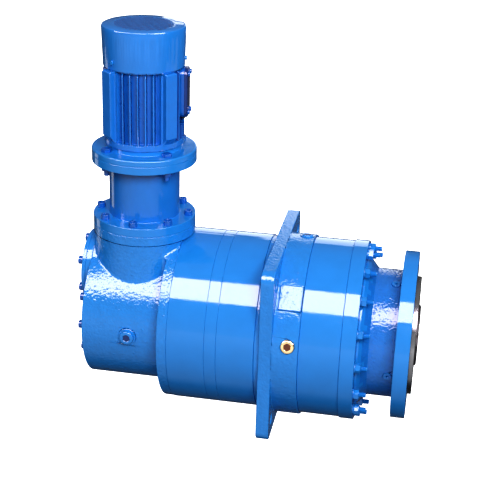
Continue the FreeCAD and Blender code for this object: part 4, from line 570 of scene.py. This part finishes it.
def add_plug(work, kind):
    """Foot disc, rounded collar and hexagon socket of a plug; the faces in the socket take the second finish, a
    painted shade.
    """
    along, angle, reach, foot, share, proud = PLUGS[kind]
    place = plug_place(along, angle, reach)
    collar = foot * share
    outside = [
        (-PLUG_SINK, foot), (PLUG_FOOT - FOOT_EDGE, foot), (PLUG_FOOT, foot - FOOT_EDGE),
        (PLUG_FOOT, collar + COLLAR_FILLET), (PLUG_FOOT + FOOT_EDGE, collar)]
    outside += [(proud - down * COLLAR_ROUND, collar - inwards * COLLAR_ROUND) for down, inwards in COLLAR_CURVE]
    outside.append((proud, MOUTH_R))
    walls = [min(r, MOUTH_R) for r in hexagon_radii(SOCKET_AF, PLUG_SIDES)]
    shoulder = [(proud - MOUTH_DEPTH, r) for r in walls]
    add_rings(work, round_rings(outside, PLUG_SIDES) + [shoulder], place, closed=False)
    for cap in [f for f in work.faces if len(f.verts) == PLUG_SIDES and f.material_index == 0]:
        work.faces.remove(cap)
    add_rings(work, [shoulder, [(-SOCKET_DEPTH, r) for r in walls]], place, closed=False, material=1)


def make_plugs(node, kinds, slots):
    work = bmesh.new()
    for kind in kinds:
        add_plug(work, kind)
    bmesh.ops.remove_doubles(work, verts=work.verts, dist=WELD)
    add_fasteners(work, node, slots)


make_plugs("oil_plugs", ("level", "filler"), ("fastener_paint", "slot_shade"))
make_plugs("brass_plug", ("brass",), ("brass", "socket_shade"))
make_end_nuts()
make_end_studs()


# Camera of the product picture

CAMERA_PLACE = Vector((0.02386, -2.10250, 1.05665))
CAMERA_TARGET = Vector((-0.34520, 0.0, 0.16414))
CAMERA_ROLL = math.radians(1.6045)
CAMERA_LENS = 89.606
CAMERA_SENSOR = 36.0
CAMERA_REACH = 100.0


def make_camera():
    """Camera at the picture's place, turned a little about its own axis."""
    ahead = (CAMERA_TARGET - CAMERA_PLACE).normalized()
    side = ahead.cross(Vector((0.0, 0.0, 1.0))).normalized()
    up = side.cross(ahead)
    right = side * math.cos(CAMERA_ROLL) + up * math.sin(CAMERA_ROLL)
    top = up * math.cos(CAMERA_ROLL) - side * math.sin(CAMERA_ROLL)
    camera = bpy.data.objects.new("picture camera", bpy.data.cameras.new("picture camera"))
    camera.data.lens = CAMERA_LENS
    camera.data.sensor_width = CAMERA_SENSOR
    camera.data.clip_end = CAMERA_REACH
    turn = Matrix((right, top, -ahead)).transposed().to_4x4()
    camera.matrix_world = Matrix.Translation(CAMERA_PLACE) @ turn
    bpy.context.scene.collection.objects.link(camera)
    bpy.context.scene.camera = camera


# Studio

FLOOR_HALF = 14.0
FLOOR_GREY = (0.86, 0.86, 0.86)
FLOOR_ROUGHNESS = 0.9
FLOOR_GLOW = 1.0
BACKDROP_GLOW = 1.3

# Even light of the room by the height of the direction it comes from, and what its rear wall adds
FLOOR_BOUNCE = 0.18
DOME_LIGHT = 0.46
DOME_SPAN = (-0.05, 0.25)
REAR_GLOW = 1.9
REAR_SPAN = (0.0, 0.5)
REAR_TOP_SPAN = (0.45, 0.25)

# Radiance that the paint reflects, by the height of the direction it looks into, from straight down to up
FRONT_HEIGHTS = ((0.0, 0.05), (0.03, 0.45), (0.10, 0.60), (0.31, 0.85), (0.485, 1.15), (0.505, 0.80),
                 (0.66, 0.62), (0.80, 0.52), (0.95, 0.48), (1.0, 0.48))
BACK_HEIGHTS = ((0.0, 0.05), (0.48, 0.08), (0.51, 0.12), (0.66, 0.16), (0.75, 0.30), (1.0, 0.48))
FRONT_TO_BACK = (-0.85, 0.0)

# Lights: place, point that they face, width and height, radiance
MIDDLE = Vector((-0.345, 0.0, 0.0))
KEY_LIGHT = (Vector((0.85, -3.20, 2.55)), MIDDLE, (2.6, 1.6), 14.0)
STRIP_TINT = (0.96, 0.80, 0.89)
SOFTBOXES = {
    "strip softbox": (Vector((-0.345, -1.292, 1.791)), MIDDLE, (8.0, 1.075), 14.5),
    "side softbox": (Vector((-3.10, 1.08, -0.73)), Vector((MOTOR_X, 0.0, 0.35)), (0.8, 1.0), 1.1),
    "output end softbox": (Vector((3.00, 0.55, -0.68)), ORIGIN, (2.8, 0.5), 0.5),
    "back softbox": (Vector((-0.975, 3.00, 0.375)), Vector((-0.975, 0.0, 0.375)), (0.45, 1.05), 1.6),
    "tall back softbox": (Vector((-0.435, 3.00, 0.645)), Vector((-0.435, 0.0, 0.645)), (0.63, 1.59), 1.6),
    "corner softbox": (Vector((-1.04, 3.00, 1.175)), Vector((-1.04, 0.0, 1.175)), (0.30, 0.25), 1.6)}


def make_floor():
    """Plain pale floor under the lowest edge of the casings."""
    low = CAD_BOX[0][2]
    mesh = bpy.data.meshes.new("floor")
    corners = [(x * FLOOR_HALF, y * FLOOR_HALF, low) for x, y in ((-1, -1), (1, -1), (1, 1), (-1, 1))]
    mesh.from_pydata(corners, [], [(0, 1, 2, 3)])
    floor = bpy.data.objects.new("floor", mesh)
    bpy.context.scene.collection.objects.link(floor)
    material, shader = surface("floor", FLOOR_GREY, FLOOR_ROUGHNESS)
    shader.inputs["Specular IOR Level"].default_value = 0.0
    shader.inputs["Emission Color"].default_value = (1.0, 1.0, 1.0, 1.0)
    shader.inputs["Emission Strength"].default_value = FLOOR_GLOW
    mesh.materials.append(material)
    floor.visible_diffuse = False
    floor.visible_glossy = False


def height_ramp(tree, stops, height):
    """Radiance that changes with the height of a direction."""
    ramp = add_node(tree, "ShaderNodeValToRGB")
    for k, (position, radiance) in enumerate(stops):
        stop = ramp.color_ramp.elements[k] if k < 2 else ramp.color_ramp.elements.new(position)
        stop.position = position
        stop.color = (radiance, radiance, radiance, 1.0)
    tree.links.new(height, ramp.inputs["Fac"])
    return ramp.outputs["Color"]


def axes_of(tree, direction):
    node = add_node(tree, "ShaderNodeSeparateXYZ")
    tree.links.new(direction, node.inputs["Vector"])
    return node.outputs


def chosen_by(tree, ray, others, chosen):
    """One background for the rays of a kind and another for all the others."""
    mix = add_node(tree, "ShaderNodeMixShader")
    for socket, source in zip(mix.inputs, (ray, others, chosen)):
        tree.links.new(source, socket)
    return mix.outputs["Shader"]


def reflected_room(tree, up, rearward):
    """Graded room that shows in the paint: bright towards the camera, dim behind the reducer."""
    height = map_range(tree, up, (-1.0, 1.0))
    mix = add_node(tree, "ShaderNodeMix", data_type="RGBA")
    tree.links.new(map_range(tree, rearward, FRONT_TO_BACK, smooth=True), mix.inputs["Factor"])
    tree.links.new(height_ramp(tree, FRONT_HEIGHTS, height), mix.inputs["A"])
    tree.links.new(height_ramp(tree, BACK_HEIGHTS, height), mix.inputs["B"])
    room = add_node(tree, "ShaderNodeBackground")
    tree.links.new(mix.outputs["Result"], room.inputs["Color"])
    return room.outputs["Background"]


def even_room(tree, up, rearward):
    """Soft dome that lights the paint's own colour, with a brighter wall low down at the rear."""
    dome = map_range(tree, up, DOME_SPAN, (FLOOR_BOUNCE, DOME_LIGHT), smooth=True)
    rear = map_range(tree, rearward, REAR_SPAN, smooth=True)
    wall = map_range(tree, up, REAR_TOP_SPAN, (0.0, REAR_GLOW), smooth=True)
    room = add_node(tree, "ShaderNodeBackground")
    tree.links.new(multiply_add(tree, rear, wall, dome), room.inputs["Strength"])
    return room.outputs["Background"]


def make_room():
    """Pale room: graded where the paint reflects it, even where it lights, plain where it is seen."""
    world = bpy.data.worlds.new("studio")
    bpy.context.scene.world = world
    world.use_nodes = True
    tree = world.node_tree
    tree.nodes.clear()
    direction = add_node(tree, "ShaderNodeTexCoord").outputs["Generated"]
    up = axes_of(tree, direction)["Z"]
    level = add_node(tree, "ShaderNodeVectorMath", operation="MULTIPLY")
    level.inputs[1].default_value = (1.0, 1.0, 0.0)
    tree.links.new(direction, level.inputs[0])
    heading = add_node(tree, "ShaderNodeVectorMath", operation="NORMALIZE")
    tree.links.new(level.outputs["Vector"], heading.inputs[0])
    rearward = axes_of(tree, heading.outputs["Vector"])["Y"]
    backdrop = add_node(tree, "ShaderNodeBackground")
    backdrop.inputs["Strength"].default_value = BACKDROP_GLOW
    ray = add_node(tree, "ShaderNodeLightPath").outputs
    lit = chosen_by(tree, ray["Is Glossy Ray"], even_room(tree, up, rearward), reflected_room(tree, up, rearward))
    shown = chosen_by(tree, ray["Is Camera Ray"], lit, backdrop.outputs["Background"])
    tree.links.new(shown, tree.nodes.new("ShaderNodeOutputWorld").inputs["Surface"])


def area_light(name, place, target, size, radiance):
    """Rectangular light of an even radiance that faces its target and is not itself seen."""
    light = bpy.data.lights.new(name, "AREA")
    light.shape = "RECTANGLE"
    light.size, light.size_y = size
    light.energy = radiance * math.pi * light.size * light.size_y
    lamp = bpy.data.objects.new(name, light)
    lamp.location = place
    lamp.rotation_euler = (place - target).to_track_quat("Z", "Y").to_euler()
    lamp.visible_camera = False
    bpy.context.scene.collection.objects.link(lamp)
    return lamp


def make_lights():
    """Key light from the front for the colour, and softboxes that only show as reflections."""
    for name, row in SOFTBOXES.items():
        area_light(name, *row).visible_diffuse = False
    bpy.data.lights["strip softbox"].color = STRIP_TINT
    area_light("front key", *KEY_LIGHT).visible_glossy = False


make_camera()
make_floor()
make_room()
make_lights()
bpy.context.scene.view_settings.view_transform = "Standard"
bpy.context.scene.view_settings.look = "High Contrast"
